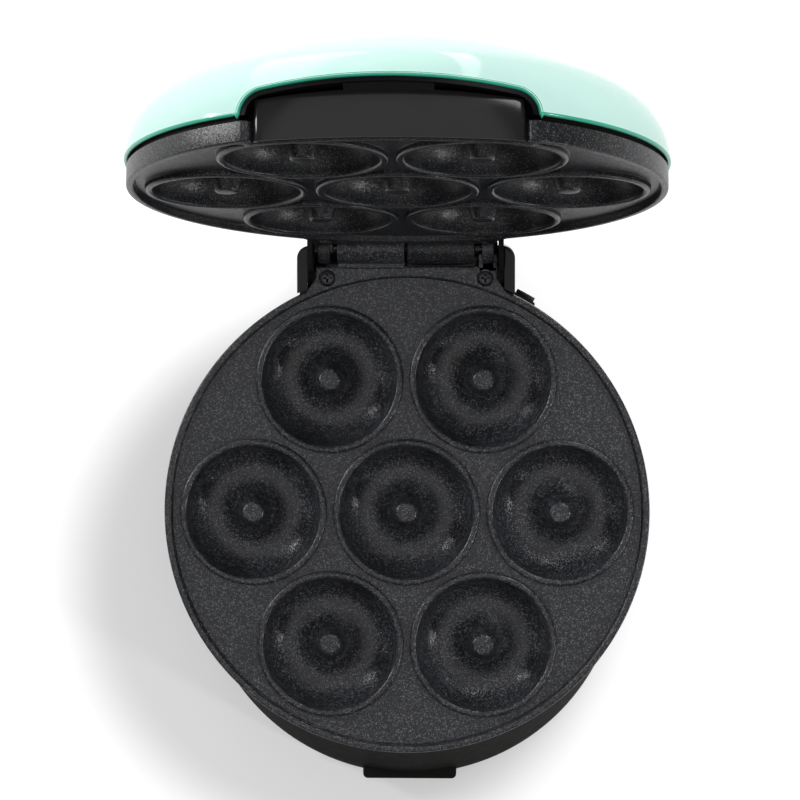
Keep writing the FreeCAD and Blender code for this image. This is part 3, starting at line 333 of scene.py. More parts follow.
def joined(*parts: Solid) -> Solid:
    """Puts several solids into one.

    Args:
        parts: the solids; they are freed.

    Returns:
        The whole.
    """
    whole = bmesh.new()
    for part in parts:
        mesh = as_mesh("part", part)
        whole.from_mesh(mesh)
        bpy.data.meshes.remove(mesh)
    return whole


def carved(solid: Solid, cutter: Solid) -> Solid:
    """Cuts one solid out of another.

    Args:
        solid: what is cut; it is freed.
        cutter: what it is cut with; it is freed.

    Returns:
        What is left of the solid.
    """
    shapes = [add_object("shape", as_mesh("shape", bm)) for bm in (solid, cutter)]
    cut = shapes[0].modifiers.new("cut", "BOOLEAN")
    cut.operation, cut.solver, cut.object = "DIFFERENCE", "EXACT", shapes[1]
    result = bpy.data.meshes.new_from_object(shapes[0].evaluated_get(bpy.context.evaluated_depsgraph_get()))
    left = bmesh.new()
    left.from_mesh(result)
    for shape in shapes:
        mesh = shape.data
        bpy.data.objects.remove(shape)
        bpy.data.meshes.remove(mesh)
    bpy.data.meshes.remove(result)
    tidy(left)
    return left


@dataclass(frozen=True)
class Placement:
    """Where the plate frame lies in the row frame, from the lid's hinge."""

    hinge_y: float = 109.0

    def matrix(self, side: Side) -> Matrix:
        """Millimetres in the plate frame to metres in the row frame.

        Args:
            side: body that the piece rides on, which stands at rest.

        Returns:
            The transform.
        """
        joint = frame["joints"][0]
        swing = -math.radians(joint["range_deg"][1]) if side is Side.LID else 0.0
        return (Matrix.Translation(Vector(joint["pos_m"])) @ Matrix.Rotation(swing, 4, "X")
                @ Matrix.Scale(MM, 4) @ Matrix.Translation((0, -self.hinge_y, 0)))


PLACE = Placement()


def add_piece(name: str, bm: Solid, side: Side, finish: "Finish", replaces: Sequence[str],
              crease: float = 32.0) -> Item:
    """Turns a solid into a piece of the object.

    Args:
        name: the piece's name.
        bm: its shape in the plate frame; it is freed.
        side: the body that it rides on.
        finish: what it is made of.
        replaces: CAD nodes that it stands for.
        crease: angle above which an edge stays sharp, in degrees.

    Returns:
        The new object.
    """
    bmesh.ops.transform(bm, matrix=PLACE.matrix(side), verts=bm.verts[:])
    for face in bm.faces:
        face.smooth = True
    mesh = as_mesh(name, bm)
    mesh.set_sharp_from_angle(angle=math.radians(crease))
    mesh.materials.append(finish.material())
    piece = add_object(name, mesh)
    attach(piece, side.value)
    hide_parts(*replaces)
    LOG.info("%s: %d faces on %s", name, len(mesh.polygons), side.value)
    return piece


# Finishes


@dataclass(frozen=True)
class Finish:
    """Moulded or plain surface with a faint mottle, and the base of the other finishes."""

    slot: str
    colour: str
    shade: str
    roughness: float
    metallic: float = 0.0
    ior: float = 1.5
    coat: float = 0.0
    coat_roughness: float = 0.04
    grain_mm: float = 0.6
    grain_depth_mm: float = 0.004
    mottle_mm: float = 9.0
    unevenness: float = 0.15
    place: str = "all_over"

    @property
    def title(self) -> str:
        """Name of the material, apart from those that come with the CAD nodes."""
        return f"{self.slot}_{self.place}"

    def material(self) -> bpy.types.Material:
        """The finish's material, made on first use."""
        return bpy.data.materials.get(self.title) or self.make()

    def make(self) -> bpy.types.Material:
        """Builds the material: a mottled colour, uneven gloss and a moulded grain.

        Returns:
            The material.
        """
        material = bpy.data.materials.new(self.title)
        material.use_nodes = True
        tree = material.node_tree
        shader = tree.nodes["Principled BSDF"]
        for name, value in {"Metallic": self.metallic, "Coat Weight": self.coat,
                            "Coat Roughness": self.coat_roughness}.items():
            shader.inputs[name].default_value = value
        if not self.metallic:
            shader.inputs["IOR"].default_value = self.ior
        where = add_node(tree, "ShaderNodeTexCoord").outputs["Object"]
        tree.links.new(self.tint(tree, where), shader.inputs["Base Color"])
        gloss = add_node(tree, "ShaderNodeTexNoise", {"Scale": per_mm(self.mottle_mm / 2), "Detail": 3.0},
                         {"Vector": where})
        spread = add_node(tree, "ShaderNodeMapRange",
                          {"To Min": self.roughness * (1 - self.unevenness),
                           "To Max": self.roughness * (1 + self.unevenness)},
                          {"Value": gloss.outputs["Fac"]})
        tree.links.new(spread.outputs["Result"], shader.inputs["Roughness"])
        bump = add_node(tree, "ShaderNodeBump", {"Strength": 1.0, "Distance": self.grain_depth_mm * MM},
                        {"Height": self.relief(tree, where), "Normal": self.facing(tree, where)})
        tree.links.new(bump.outputs["Normal"], shader.inputs["Normal"])
        return material

    def tint(self, tree: Tree, where: Socket) -> Socket:
        """Colour of the surface: two close tones in soft patches.

        Args:
            tree: the material's nodes.
            where: Object coordinates.

        Returns:
            Socket with the colour.
        """
        patch = add_node(tree, "ShaderNodeTexNoise", {"Scale": per_mm(self.mottle_mm), "Detail": 4.0},
                         {"Vector": where})
        blend = add_node(tree, "ShaderNodeMix", {"data_type": "RGBA", 6: srgb(self.colour), 7: srgb(self.shade)},
                         {0: patch.outputs["Fac"]})
        return blend.outputs[2]

    def relief(self, tree: Tree, where: Socket) -> Socket:
        """Height of the surface grain.

        Args:
            tree: the material's nodes.
            where: Object coordinates.

        Returns:
            Socket with the height.
        """
        grain = add_node(tree, "ShaderNodeTexNoise", {"Scale": per_mm(self.grain_mm), "Detail": 2.0},
                         {"Vector": where})
        return grain.outputs["Fac"]

    def facing(self, tree: Tree, where: Socket) -> Socket:
        """Direction that the surface faces below its grain."""
        return add_node(tree, "ShaderNodeNewGeometry").outputs["Normal"]


@dataclass(frozen=True)
class SpeckledCoating(Finish):
    """Sprayed non-stick coating on a casting: charcoal with fine mica flakes and a gritty skin."""

    flake: str = "#75767F"
    flake_mm: float = 0.4
    flake_share: float = 0.3
    flake_tilt: float = 0.28
    flake_cover: float = 0.7

    def flakes(self, tree: Tree, where: Socket) -> Socket:
        """One random colour for each flake, from which its tone and its slant come."""
        return add_node(tree, "ShaderNodeTexVoronoi", {"Scale": per_mm(self.flake_mm), "Randomness": 1.0},
                        {"Vector": where}).outputs["Color"]

    def tint(self, tree: Tree, where: Socket) -> Socket:
        """Charcoal ground with scattered light flakes, drawn a little coarser than real to show.

        Args:
            tree: the material's nodes.
            where: Object coordinates.

        Returns:
            Socket with the colour.
        """
        ground = Finish.tint(self, tree, where)
        tone = add_node(tree, "ShaderNodeSeparateColor", {}, {"Color": self.flakes(tree, where)})
        picked = add_node(tree, "ShaderNodeMapRange",
                          {"From Min": 1.0 - self.flake_share, "From Max": 1.0, "To Max": self.flake_cover},
                          {"Value": tone.outputs["Red"]})
        blend = add_node(tree, "ShaderNodeMix", {"data_type": "RGBA", 7: srgb(self.flake)},
                         {0: picked.outputs["Result"], 6: ground})
        return blend.outputs[2]

    def facing(self, tree: Tree, where: Socket) -> Socket:
        """Flakes that lie each at its own slant, so that some of them catch a lamp.

        Args:
            tree: the material's nodes.
            where: Object coordinates.

        Returns:
            Socket with the normal.
        """
        slant = add_node(tree, "ShaderNodeVectorMath", {"operation": "SUBTRACT", 1: (0.5, 0.5, 0.5)},
                         {0: self.flakes(tree, where)})
        slant = add_node(tree, "ShaderNodeVectorMath", {"operation": "SCALE", "Scale": self.flake_tilt},
                         {0: slant.outputs["Vector"]})
        tipped = add_node(tree, "ShaderNodeVectorMath", {"operation": "ADD"},
                          {0: Finish.facing(self, tree, where), 1: slant.outputs["Vector"]})
        return add_node(tree, "ShaderNodeVectorMath", {"operation": "NORMALIZE"},
                        {0: tipped.outputs["Vector"]}).outputs["Vector"]


@dataclass(frozen=True)
class DrawnMetal(Finish):
    """Drawn or rolled metal: fine streaks along X and a cloudy tone."""

    streak: float = 14.0

    def relief(self, tree: Tree, where: Socket) -> Socket:
        """Streaks that are longer than wide by the streak factor.

        Args:
            tree: the material's nodes.
            where: Object coordinates.

        Returns:
            Socket with the height.
        """
        stretched = add_node(tree, "ShaderNodeMapping", {"Scale": (1.0 / self.streak, 1.0, 1.0)}, {"Vector": where})
        grain = add_node(tree, "ShaderNodeTexNoise", {"Scale": per_mm(self.grain_mm), "Detail": 3.0},
                         {"Vector": stretched.outputs["Vector"]})
        return grain.outputs["Fac"]


# ABS in a light tint, moulded to a high gloss: smooth, with a clear reflection of the lamps
AQUA = Finish("aqua_shell", "#CDF2E9", "#C9EFE5", 0.07, ior=1.3, grain_mm=5.0, grain_depth_mm=0.002)
# The same ABS at the shell's cut edge, in a deeper teal: partly the tint that gathers in the edge's thickness, partly
# painted shade where the rounded edge faces away from the lamps
AQUA_SHADED_EDGE = Finish("aqua_shell", "#3DB998", "#37B090", 0.2, grain_mm=5.0, grain_depth_mm=0.002, place="edge")
# Black phenolic from a fine-grained mould: dull, with hardly a highlight
BLACK = Finish("black_body", "#1A1918", "#1F1D1C", 0.7, ior=1.12, grain_mm=1.2)
# The same phenolic, polished at the hinge block: dark, with sharp reflections
GLOSS_BLACK = Finish("black_body", "#151515", "#191919", 0.14, ior=1.3, grain_mm=2.0, place="gloss")
# Black phenolic, moulded smooth: soft grey reflections of the light above
GRIP = Finish("grip_black", "#1F1E1E", "#242323", 0.16, ior=1.36, grain_mm=1.0)
# The grip's moulding where it lines the arch, made deep black: painted shade of the narrow band between the dome and
# the grip
SHADED_LINING = Finish("grip_black", "#0B0B0B", "#0F0F0F", 0.4, ior=1.15, grain_mm=1.0, place="lining")
# Polypropylene from a textured mould: even and matt
MATT = Finish("bottom_plastic", "#1E1E1F", "#242425", 0.6, grain_mm=0.8, grain_depth_mm=0.01)
# Cast aluminium under a sprayed coating: gritty, with flakes that catch the light
COATING = SpeckledCoating("plate_coating", "#1B1C1E", "#222325", 0.3, ior=1.45, grain_mm=0.6, grain_depth_mm=0.04)
# The same coating on the lid, smoother and with fewer flakes, on a darker ground: painted shade on the lid's plate,
# which faces away from the lamps
SHADED_LID_COATING = SpeckledCoating("plate_coating", "#131416", "#18191B", 0.34, ior=1.4, grain_mm=0.5,
                              grain_depth_mm=0.025, place="lid", flake_mm=0.3, flake_share=0.16, flake_tilt=0.18)
# Zinc-plated steel screws: cool grey with fine streaks
ZINC = DrawnMetal("screw_steel", "#A8A8A6", "#BDBDBB", 0.35, metallic=1.0)
# Steel screws under black oxide: dark, with a dull shine
OXIDE = DrawnMetal("screw_black", "#4E4E51", "#58585B", 0.42, metallic=1.0)
# Ground steel rod: grey, with a narrow bright line
PIN = DrawnMetal("pin_steel", "#8E8E8C", "#A2A2A0", 0.3, metallic=1.0)
# Stainless steel tube, browned by heat: warm and dull
SHEATH = DrawnMetal("heater_sheath", "#6A6660", "#7A756E", 0.45, metallic=1.0)
# Aluminised sheet steel, rolled: pale, with soft streaks
SHEET = DrawnMetal("shield_sheet", "#B4B5B8", "#C4C5C8", 0.32, metallic=1.0)
# Spring steel strip: mid grey and satin
CLIP = DrawnMetal("clip_steel", "#A0A0A0", "#B2B2B2", 0.35, metallic=1.0)
# Aluminium rivets with pressed heads: pale and satin
RIVET = DrawnMetal("rivet_aluminium", "#B8B9BC", "#C8C9CC", 0.35, metallic=1.0)
# Brown-black phenolic, moulded: half matt
PHENOLIC = Finish("thermostat_body", "#2C2824", "#352F2A", 0.5)
# Drawn brass case: yellow and satin
FUSE = DrawnMetal("fuse_case", "#B8A068", "#C6AE76", 0.35, metallic=1.0)
# Cream polyamide, moulded: half matt
TERMINAL = Finish("terminal_plastic", "#DAD8CF", "#E4E2DA", 0.45)
# Moulded rubber: dark and dull, with a fine grain
GLAND = Finish("gland_rubber", "#191919", "#202020", 0.6, grain_depth_mm=0.01)
# The same rubber with a deeper grain, against slipping: duller still
FOOT = Finish("foot_rubber", "#1B1B1B", "#232323", 0.75, grain_depth_mm=0.015)
# Red polycarbonate, polished: a small bright reflection
LENS = Finish("lamp_lens", "#C8431F", "#B93A18", 0.08, coat=0.4, grain_depth_mm=0.001)
# Glass lamp over a warm filling: smooth and bright
LAMP = Finish("lamp_body", "#E6CDA4", "#DEC294", 0.15, grain_depth_mm=0.001)


# Sub-assemblies


@dataclass
class Casting:
    """Cast baking plate: ring cavities in a floor, a rim with its skirt, a flange and hinge knuckles."""

    name: str
    node: str
    side: Side
    facing: Facing
    notched: bool
    finish: Finish
    plate_r: float = 100.0
    crest_z: float = -0.3
    floor_z: float = -2.8
    floor_thick: float = 3.5
    floor_lap: float = 0.6
    skirt_z: float = -7.7
    rim_width: float = 2.7
    pitch: float = 63.3
    cavity_r: float = 27.5
    crest_width: float = 2.8
    bead_rise: float = 1.0
    bead_lap: float = 0.4
    trough_z: float = -14.3
    cup_z: float = -17.3
    cup_flat_r: float = 21.0
    cup_wall: float = 3.0
    cup_drop: float = 0.2
    boss_r: float = 4.6
    boss_round: float = 1.4
    boss_foot_r: float = 6.0
    boss_z: float = -0.6
    boss_foot_z: float = -5.3
    notch_half: float = 47.0
    notch_reach: float = 89.5
    notch_arc_r: float = 158.05
    notch_fillet: float = 2.5
    hinge_y: float = PLACE.hinge_y
    knuckle_r: float = 6.5
    knuckle_edge: float = 0.5
    knuckle_nick: float = 0.15
    web_tuck: float = 1.0
    web_short: float = 2.0
    web_edge: float = 0.3
    bore_r: float = 2.55
    barrel: Flat = (-28.0, -0.6)
    lug_root: Flat = (29.6, 37.4)
    lug_knuckle: Flat = (31.0, 36.0)
    lug_block: Flat = (103.5, 106.7)
    lug_rise: float = 2.8
    lug_tuck: float = 2.0
    lug_edge: float = 0.35
    flange_half: float = 37.2
    flange_turn: Flat = (64.5, 115.5)
    flange_tuck: float = 1.5
    flange_start: float = 96.5
    flange_end: float = 101.3
    flange_top: float = -0.28
    flange_edge: float = 0.4
    screw_x: float = 32.4
    screw_y: float = 96.7
    recess_r: float = 3.5
    recess_depth: float = 2.6
    recess_top: float = 0.5

    def outline(self, inset: float) -> list[Flat]:
        """Rim seen from above: a circle, or one that is cut back at the front.

        Args:
            inset: how far the outline is moved inwards.

        Returns:
            The outline's points.
        """
        radius = self.plate_r - inset
        if not self.notched:
            return sweep((0, 0), radius, 0, 360, 240)[:-1]
        half, arc_r = self.notch_half + inset, self.notch_arc_r - inset
        middle_y = self.notch_arc_r - self.notch_reach
        corner_x = half + self.notch_fillet
        corner_y = -math.sqrt((radius - self.notch_fillet) ** 2 - corner_x ** 2)
        turn = math.degrees(math.atan2(corner_y, corner_x))
        lean = math.degrees(math.asin(half / arc_r))
        inner_y = middle_y - math.sqrt(arc_r ** 2 - half ** 2)
        points = sweep((0, 0), radius, turn, 180 - turn, 200)
        points += sweep((-corner_x, corner_y), self.notch_fillet, 180 - turn, 360, 8)[1:]
        points += [(-half, corner_y + (inner_y - corner_y) * i / 3) for i in (1, 2)]
        points += sweep((0, middle_y), arc_r, 270 - lean, 270 + lean, 40)
        points += [(half, inner_y + (corner_y - inner_y) * i / 3) for i in (1, 2)]
        points += sweep((corner_x, corner_y), self.notch_fillet, 180, 360 + turn, 8)[:-1]
        return points

    def places(self) -> list[Flat]:
        """Centres of the cavities: one in the middle and a ring of them round it."""
        return [(0.0, 0.0)] + sweep((0, 0), self.pitch, 0, 360, 6)[:-1]

    def rim(self) -> Solid:
        """Rim, skirt and the fillet to the floor.

        Returns:
            The solid.
        """
        top, width = self.crest_z, self.rim_width
        under = self.floor_z - self.floor_thick
        # Inset and height, up the outside, over the rounded crest and down to the floor
        section = [(0.0, self.skirt_z), (0.0, top - 0.7), (0.12, top - 0.35), (0.35, top - 0.12), (0.7, top),
                   (width - 0.6, top), (width - 0.3, top - 0.1), (width - 0.08, top - 0.3), (width, top - 0.6),
                   (width, self.floor_z + 0.3), (width + 0.1, self.floor_z + 0.1), (width + 0.3, self.floor_z),
                   (width + 0.8, under), (width, under), (width, self.skirt_z)]
        whole = skinned([at_height(self.outline(inset), z) for inset, z in section], ring=True)
        return carved(whole, self.drills())

    def drills(self) -> Solid:
        """Cylinders that clear the heads of the two flange screws.

        Returns:
            Both in one mesh.
        """
        low, top, radius = self.flange_top - self.recess_depth, self.recess_top, self.recess_r
        profile = [(0, low), (radius, low), (radius, top), (0, top)]
        return joined(*[spun(profile, 48, Matrix.Translation((x, self.screw_y, 0)))
                        for x in (-self.screw_x, self.screw_x)])

    def floor(self) -> Solid:
        """Level floor with a hole for each cavity.

        Returns:
            The solid.
        """
        bm = bmesh.new()
        edges = loop_edges(bm, loop_verts(bm, at_height(self.outline(self.rim_width + self.floor_lap), self.floor_z)))
        hole_r = self.cavity_r + self.crest_width - self.bead_lap
        for x, y in self.places():
            ring = bmesh.ops.create_circle(bm, segments=72, radius=hole_r,
                                           matrix=Matrix.Translation((x, y, self.floor_z)))
            edges += loop_edges(bm, ring["verts"])
        faces = [f for f in bmesh.ops.triangle_fill(bm, edges=edges, use_beauty=True)["geom"]
                 if isinstance(f, bmesh.types.BMFace)]
        made = bmesh.ops.extrude_face_region(bm, geom=faces, use_keep_orig=True)["geom"]
        bmesh.ops.translate(bm, verts=only_verts(made), vec=(0, 0, -self.floor_thick))
        tidy(bm)
        return bm

    def cavity(self, place: Flat) -> Solid:
        """One ring cavity: the bead round it, the trough, the boss in its middle and the cup below.

        Args:
            place: the cavity's centre.

        Returns:
            The solid.
        """
        outer = self.cavity_r + self.crest_width
        shoulder = self.crest_z - self.bead_rise
        trough_r = (self.cavity_r + self.boss_foot_r) / 2
        middle = (self.cavity_r + outer) / 2
        half = self.crest_width / 2
        turns = [i * math.pi / 10 for i in range(11)]
        bead = [(middle + half * math.cos(t), shoulder + self.bead_rise * math.sin(t)) for t in turns]
        # A small fillet at the bead's foot comes first
        profile = [(outer + 0.35, self.floor_z + 0.01), (outer + 0.12, self.floor_z + 0.06),
                   (outer + 0.02, self.floor_z + 0.2)]
        profile += bead + bend((self.cavity_r, shoulder), (trough_r, self.trough_z), 16)[1:]
        profile += bend((self.boss_foot_r, self.boss_foot_z), (trough_r, self.trough_z), 12)[::-1][1:]
        profile += bend((self.boss_r, self.boss_z - self.boss_round), (self.boss_r - self.boss_round, self.boss_z), 6)
        profile += [(0, self.boss_z), (0, self.boss_foot_z), (self.boss_foot_r, self.cup_z)]
        cup_top = (self.cavity_r + self.cup_wall, self.floor_z - self.cup_drop)
        profile += bend(cup_top, (self.cup_flat_r, self.cup_z), 10)[::-1]
        return spun(profile, 96, Matrix.Translation((place[0], place[1], 0)))

    def flange(self) -> Solid:
        """Bridge from the rim to the knuckles, with the screws' sunk seats.

        Returns:
            The solid.
        """
        half, start = self.flange_half, self.flange_start
        outline = sweep((0, 0), self.plate_r - self.flange_tuck, *self.flange_turn, 48)
        outline += [(-half, start), (-half, self.flange_end), (half, self.flange_end), (half, start)]
        depth = self.flange_top - (self.floor_z - self.floor_thick)
        plate = extruded(at_height(outline, self.flange_top), (0, 0, -depth), self.flange_edge)
        return carved(plate, self.drills())

    def knuckle(self, span: Flat) -> Solid:
        """Barrel round the hinge pin with the web that carries it.

        Args:
            span: the barrel's ends along the pin.

        Returns:
            The solid.
        """
        x0, x1 = span
        r, edge, nick = self.knuckle_r, self.knuckle_edge, self.knuckle_nick
        profile = [(self.bore_r, x0), (r - edge, x0), (r - nick, x0 + nick), (r, x0 + edge), (r, x1 - edge),
                   (r - nick, x1 - nick), (r - edge, x1), (self.bore_r, x1)]
        turn = Matrix.Translation((0, self.hinge_y, 0)) @ Matrix.Rotation(math.pi / 2, 4, "Y")
        low, top, start = self.floor_z - self.floor_thick, self.flange_top, self.flange_end - self.web_tuck
        web = [(x0, start, low), (x1, start, low), (x1, start, top), (x0, start, top)]
        depth = self.hinge_y - self.flange_end - self.web_short
        return joined(spun(profile, 72, turn), extruded(web, (0, depth, 0), self.web_edge))

    def lug(self) -> Solid:
        """Short outer knuckle on a wider root, which stands up as a block in front of it.

        Returns:
            The solid.
        """
        x0, x1 = self.lug_root
        y0, y1 = self.lug_block
        low, top, start = self.floor_z - self.floor_thick, self.flange_top, self.flange_end - self.lug_tuck
        corners = [(start, low), (start, top), (y0, top), (y0, self.lug_rise), (y1, self.lug_rise), (y1, low)]
        root = extruded([(x0, y, z) for y, z in corners], (x1 - x0, 0, 0), self.lug_edge)
        return joined(root, self.knuckle(self.lug_knuckle))

    def build(self) -> Item:
        """Builds and dresses the casting.

        Returns:
            The piece.
        """
        bm = joined(self.rim(), self.floor(), *[self.cavity(p) for p in self.places()], self.flange(),
                    self.knuckle(self.barrel), self.lug())
        bmesh.ops.rotate(bm, cent=(0, 0, 0), matrix=Matrix.Rotation(self.facing.value, 3, "Y"), verts=bm.verts[:])
        return add_piece(self.name, bm, self.side, self.finish, [self.node])


@dataclass
class Arch:
    """Slot in the front of the dome: upright sides, round shoulders and a crowned top."""

    half: float = 51.0
    crown: float = 20.6
    top_r: float = 350.0
    shoulder_r: float = 8.5

    def section(self, inset: float, low: float) -> list[Flat]:
        """The slot's outline, from its left foot over the top to its right foot.

        Args:
            inset: how far the outline is moved inwards.
            low: height of the feet.

        Returns:
            Width and height of each point.
        """
        half, top_r, shoulder_r = self.half - inset, self.top_r - inset, self.shoulder_r - inset
        middle_z = self.crown - self.top_r
        shoulder_x = half - shoulder_r
        spring = middle_z + math.sqrt((top_r - shoulder_r) ** 2 - shoulder_x ** 2)
        lean = math.degrees(math.atan2(spring - middle_z, shoulder_x))
        side = [(half, low + (spring - low) * i / 3) for i in range(3)]
        side += sweep((shoulder_x, spring), shoulder_r, 0, lean, 12)
        top = sweep((0, middle_z), top_r, lean, 180 - lean, 40)[1:-1]
        return [(-x, z) for x, z in side] + top[::-1] + side[::-1]


@dataclass
class Dome:
    """Lid cover: a tight shoulder that runs on into a flat crown, slotted at the front for the grip."""

    radius: float = 101.0
    rise: float = 45.0
    shoulder_r: float = 27.0
    rim_z: float = 9.6
    wall: float = 1.8
    lip_r: float = 0.95
    lip_depth: float = 0.85
    slot_low: float = -20.0
    slot_span: Flat = (-150.0, -55.0)

    @property
    def crown_r(self) -> float:
        """Radius of the crown, from the rim, the rise and the shoulder."""
        return ((self.radius ** 2 + self.rise ** 2 - 2 * self.radius * self.shoulder_r)
                / (2 * (self.rise - self.shoulder_r)))

    def profile(self, inset: float) -> list[Flat]:
        """Section of the shell, from the middle of the rounded edge to the apex.

        Args:
            inset: depth below the outer skin.

        Returns:
            Radius and height of each point.
        """
        shoulder_x = self.radius - self.shoulder_r
        crown_z = self.rim_z + self.rise - self.crown_r
        turn = math.degrees(math.atan2(self.rim_z - crown_z, shoulder_x))
        start = math.degrees(math.asin(self.lip_depth / (self.shoulder_r - inset)))
        shoulder = sweep((shoulder_x, self.rim_z), self.shoulder_r - inset, start, turn, 28)
        crown = sweep((0, crown_z), self.crown_r - inset, turn, 90, 28)[1:]
        return shoulder + crown[:-1] + [(0.0, crown_z + self.crown_r - inset)]

    def reach(self, z: float, inset: float) -> float:
        """Radius of the dome at one height, on its shoulder."""
        radius = self.shoulder_r - inset
        return self.radius - self.shoulder_r + math.sqrt(max(radius ** 2 - (z - self.rim_z) ** 2, 0.0))

    def build(self, arch: Arch) -> Item:
        """Builds and dresses the dome.

        Args:
            arch: the slot at its front.

        Returns:
            The piece.
        """
        outer, inner = self.profile(0), self.profile(self.wall)
        shell = spun(outer + inner[::-1], 256)
        section = arch.section(-self.lip_depth, self.slot_low)
        cutter = skinned([[(x, y, z) for x, z in section] for y in self.slot_span], ring=False)
        return add_piece("aqua_dome", carved(shell, cutter), Side.LID, AQUA, ["lid_cover"], crease=40)

    def lip(self, arch: Arch) -> Item:
        """Rounded edge of the shell, over the arch and round the rim.

        Args:
            arch: the slot at the front.

        Returns:
            The piece.
        """
        low, inset = self.rim_z + self.lip_depth, self.wall / 2
        over = [(x, -math.sqrt(self.reach(z, inset) ** 2 - x ** 2), z)
                for x, z in arch.section(-self.lip_depth, low)]
        foot = math.degrees(math.atan2(over[-1][1], over[-1][0]))
        around = at_height(sweep((0, 0), self.reach(low, inset), foot, 180 - foot, 220)[1:-1], low)
        curve = bpy.data.curves.new("edge", "CURVE")
        curve.dimensions, curve.bevel_depth, curve.bevel_resolution = "3D", self.lip_r, 3
        spline = curve.splines.new("POLY")
        spline.points.add(len(over) + len(around) - 1)
        for knot, point in zip(spline.points, over + around):
            knot.co = (*point, 1.0)
        spline.use_cyclic_u = True
        path = bpy.data.objects.new("edge", curve)
        mesh = bpy.data.meshes.new_from_object(path)
        bm = bmesh.new()
        bm.from_mesh(mesh)
        bpy.data.objects.remove(path)
        bpy.data.curves.remove(curve)
        bpy.data.meshes.remove(mesh)
        tidy(bm)
        # The edge's deeper teal is partly painted shade
        return add_piece("dome_edge", bm, Side.LID, AQUA_SHADED_EDGE, ["lid_cover"], crease=60)


@dataclass
class Grip:
    """Black grip under the arch: a bowed face, a tab in its middle and the lining of the arch."""

    half: float = 46.3
    inner_r: float = 158.85
    thick: float = 2.6
    middle_y: float = 68.55
    corner: float = 2.4
    bottom: float = 0.6
    side_top: float = 15.0
    crown: float = 17.4
    face_edge: float = 0.35
    tab_width: float = 31.0
    tab_lean: float = 4.2
    tab_rise: float = 2.6
    tab_root: float = 0.4
    tab_edge: float = 0.3
    lining_gap: float = 0.3
    lining_thick: float = 1.6
    lining_sunk: float = 1.0
    lining_rear: float = -81.2

    def plan(self, inset: float) -> list[Flat]:
        """Bowed face seen from above, with round front corners.

        Args:
            inset: how far the outline is moved inwards.

        Returns:
            The outline's points.
        """
        half, corner = self.half - inset, self.corner - inset
        outer_r, inner_r = self.inner_r + self.thick - inset, self.inner_r + inset
        corner_x = half - corner
        corner_y = self.middle_y - math.sqrt((outer_r - corner) ** 2 - corner_x ** 2)
        lean = math.degrees(math.asin(corner_x / (outer_r - corner)))
        back = math.degrees(math.asin(half / inner_r))
        points = sweep((0, self.middle_y), outer_r, 270 - lean, 270 + lean, 48)
        points += sweep((corner_x, corner_y), corner, 270 + lean, 360, 10)[1:]
        points += sweep((0, self.middle_y), inner_r, 270 + back, 270 - back, 48)
        points += sweep((-corner_x, corner_y), corner, 180, 270 - lean, 10)[:-1]
        return points

    def top(self, x: float) -> float:
        """Height of the crowned top edge."""
        rise = self.crown - self.side_top
        return self.crown - rise * (x / self.half) ** 2

    def face(self) -> Solid:
        """The bowed face, with its edges rounded.

        Returns:
            The solid.
        """
        edge = self.face_edge
        shift = edge * 0.3
        rounding = [(edge, 0.0), (shift, shift), (0.0, edge)]
        loops = [at_height(self.plan(inset), self.bottom + lift) for inset, lift in rounding]
        loops += [[(x, y, self.top(x) - drop) for x, y in self.plan(inset)] for inset, drop in rounding[::-1]]
        return triangled(skinned(loops, ring=False))

    def tab(self) -> Solid:
        """Middle of the grip, leaning forward from the top of the face to the arch.

        Returns:
            The solid.
        """
        half = self.tab_width / 2
        face = self.middle_y - math.sqrt((self.inner_r + self.thick) ** 2 - half ** 2)
        foot = self.crown - self.thick
        tip_y, tip_z = face - self.tab_lean, self.crown + self.tab_rise
        corners = [(face, foot), (face, self.crown - self.tab_root), (tip_y, tip_z - self.thick / 2), (tip_y, tip_z),
                   (face + self.thick, self.crown + self.thick / 2), (face + self.thick, foot)]
        return extruded([(-half, y, z) for y, z in corners], (self.tab_width, 0, 0), self.tab_edge)

    def lining(self, arch: Arch, dome: Dome) -> Solid:
        """Band that lines the arch, sunk behind the dome's skin.

        Args:
            arch: the slot that it lines.
            dome: the shell round the slot.

        Returns:
            The solid.
        """
        outer = arch.section(self.lining_gap, dome.rim_z)
        inner = arch.section(self.lining_gap + self.lining_thick, dome.rim_z)
        ring = outer + inner[::-1]
        front = [(x, -math.sqrt(dome.reach(z, self.lining_sunk) ** 2 - x ** 2), z) for x, z in ring]
        rear = [(x, self.lining_rear, z) for x, z in ring]
        return triangled(skinned([front, rear], ring=False))

    def build(self, arch: Arch, dome: Dome) -> Item:
        """Builds and dresses the grip."""
        # The lining's deep black is painted shade
        add_piece("arch_lining", self.lining(arch, dome), Side.LID, SHADED_LINING, ["lid_handle"])
        return add_piece("grip_moulding", joined(self.face(), self.tab()), Side.LID, GRIP, ["lid_handle"])


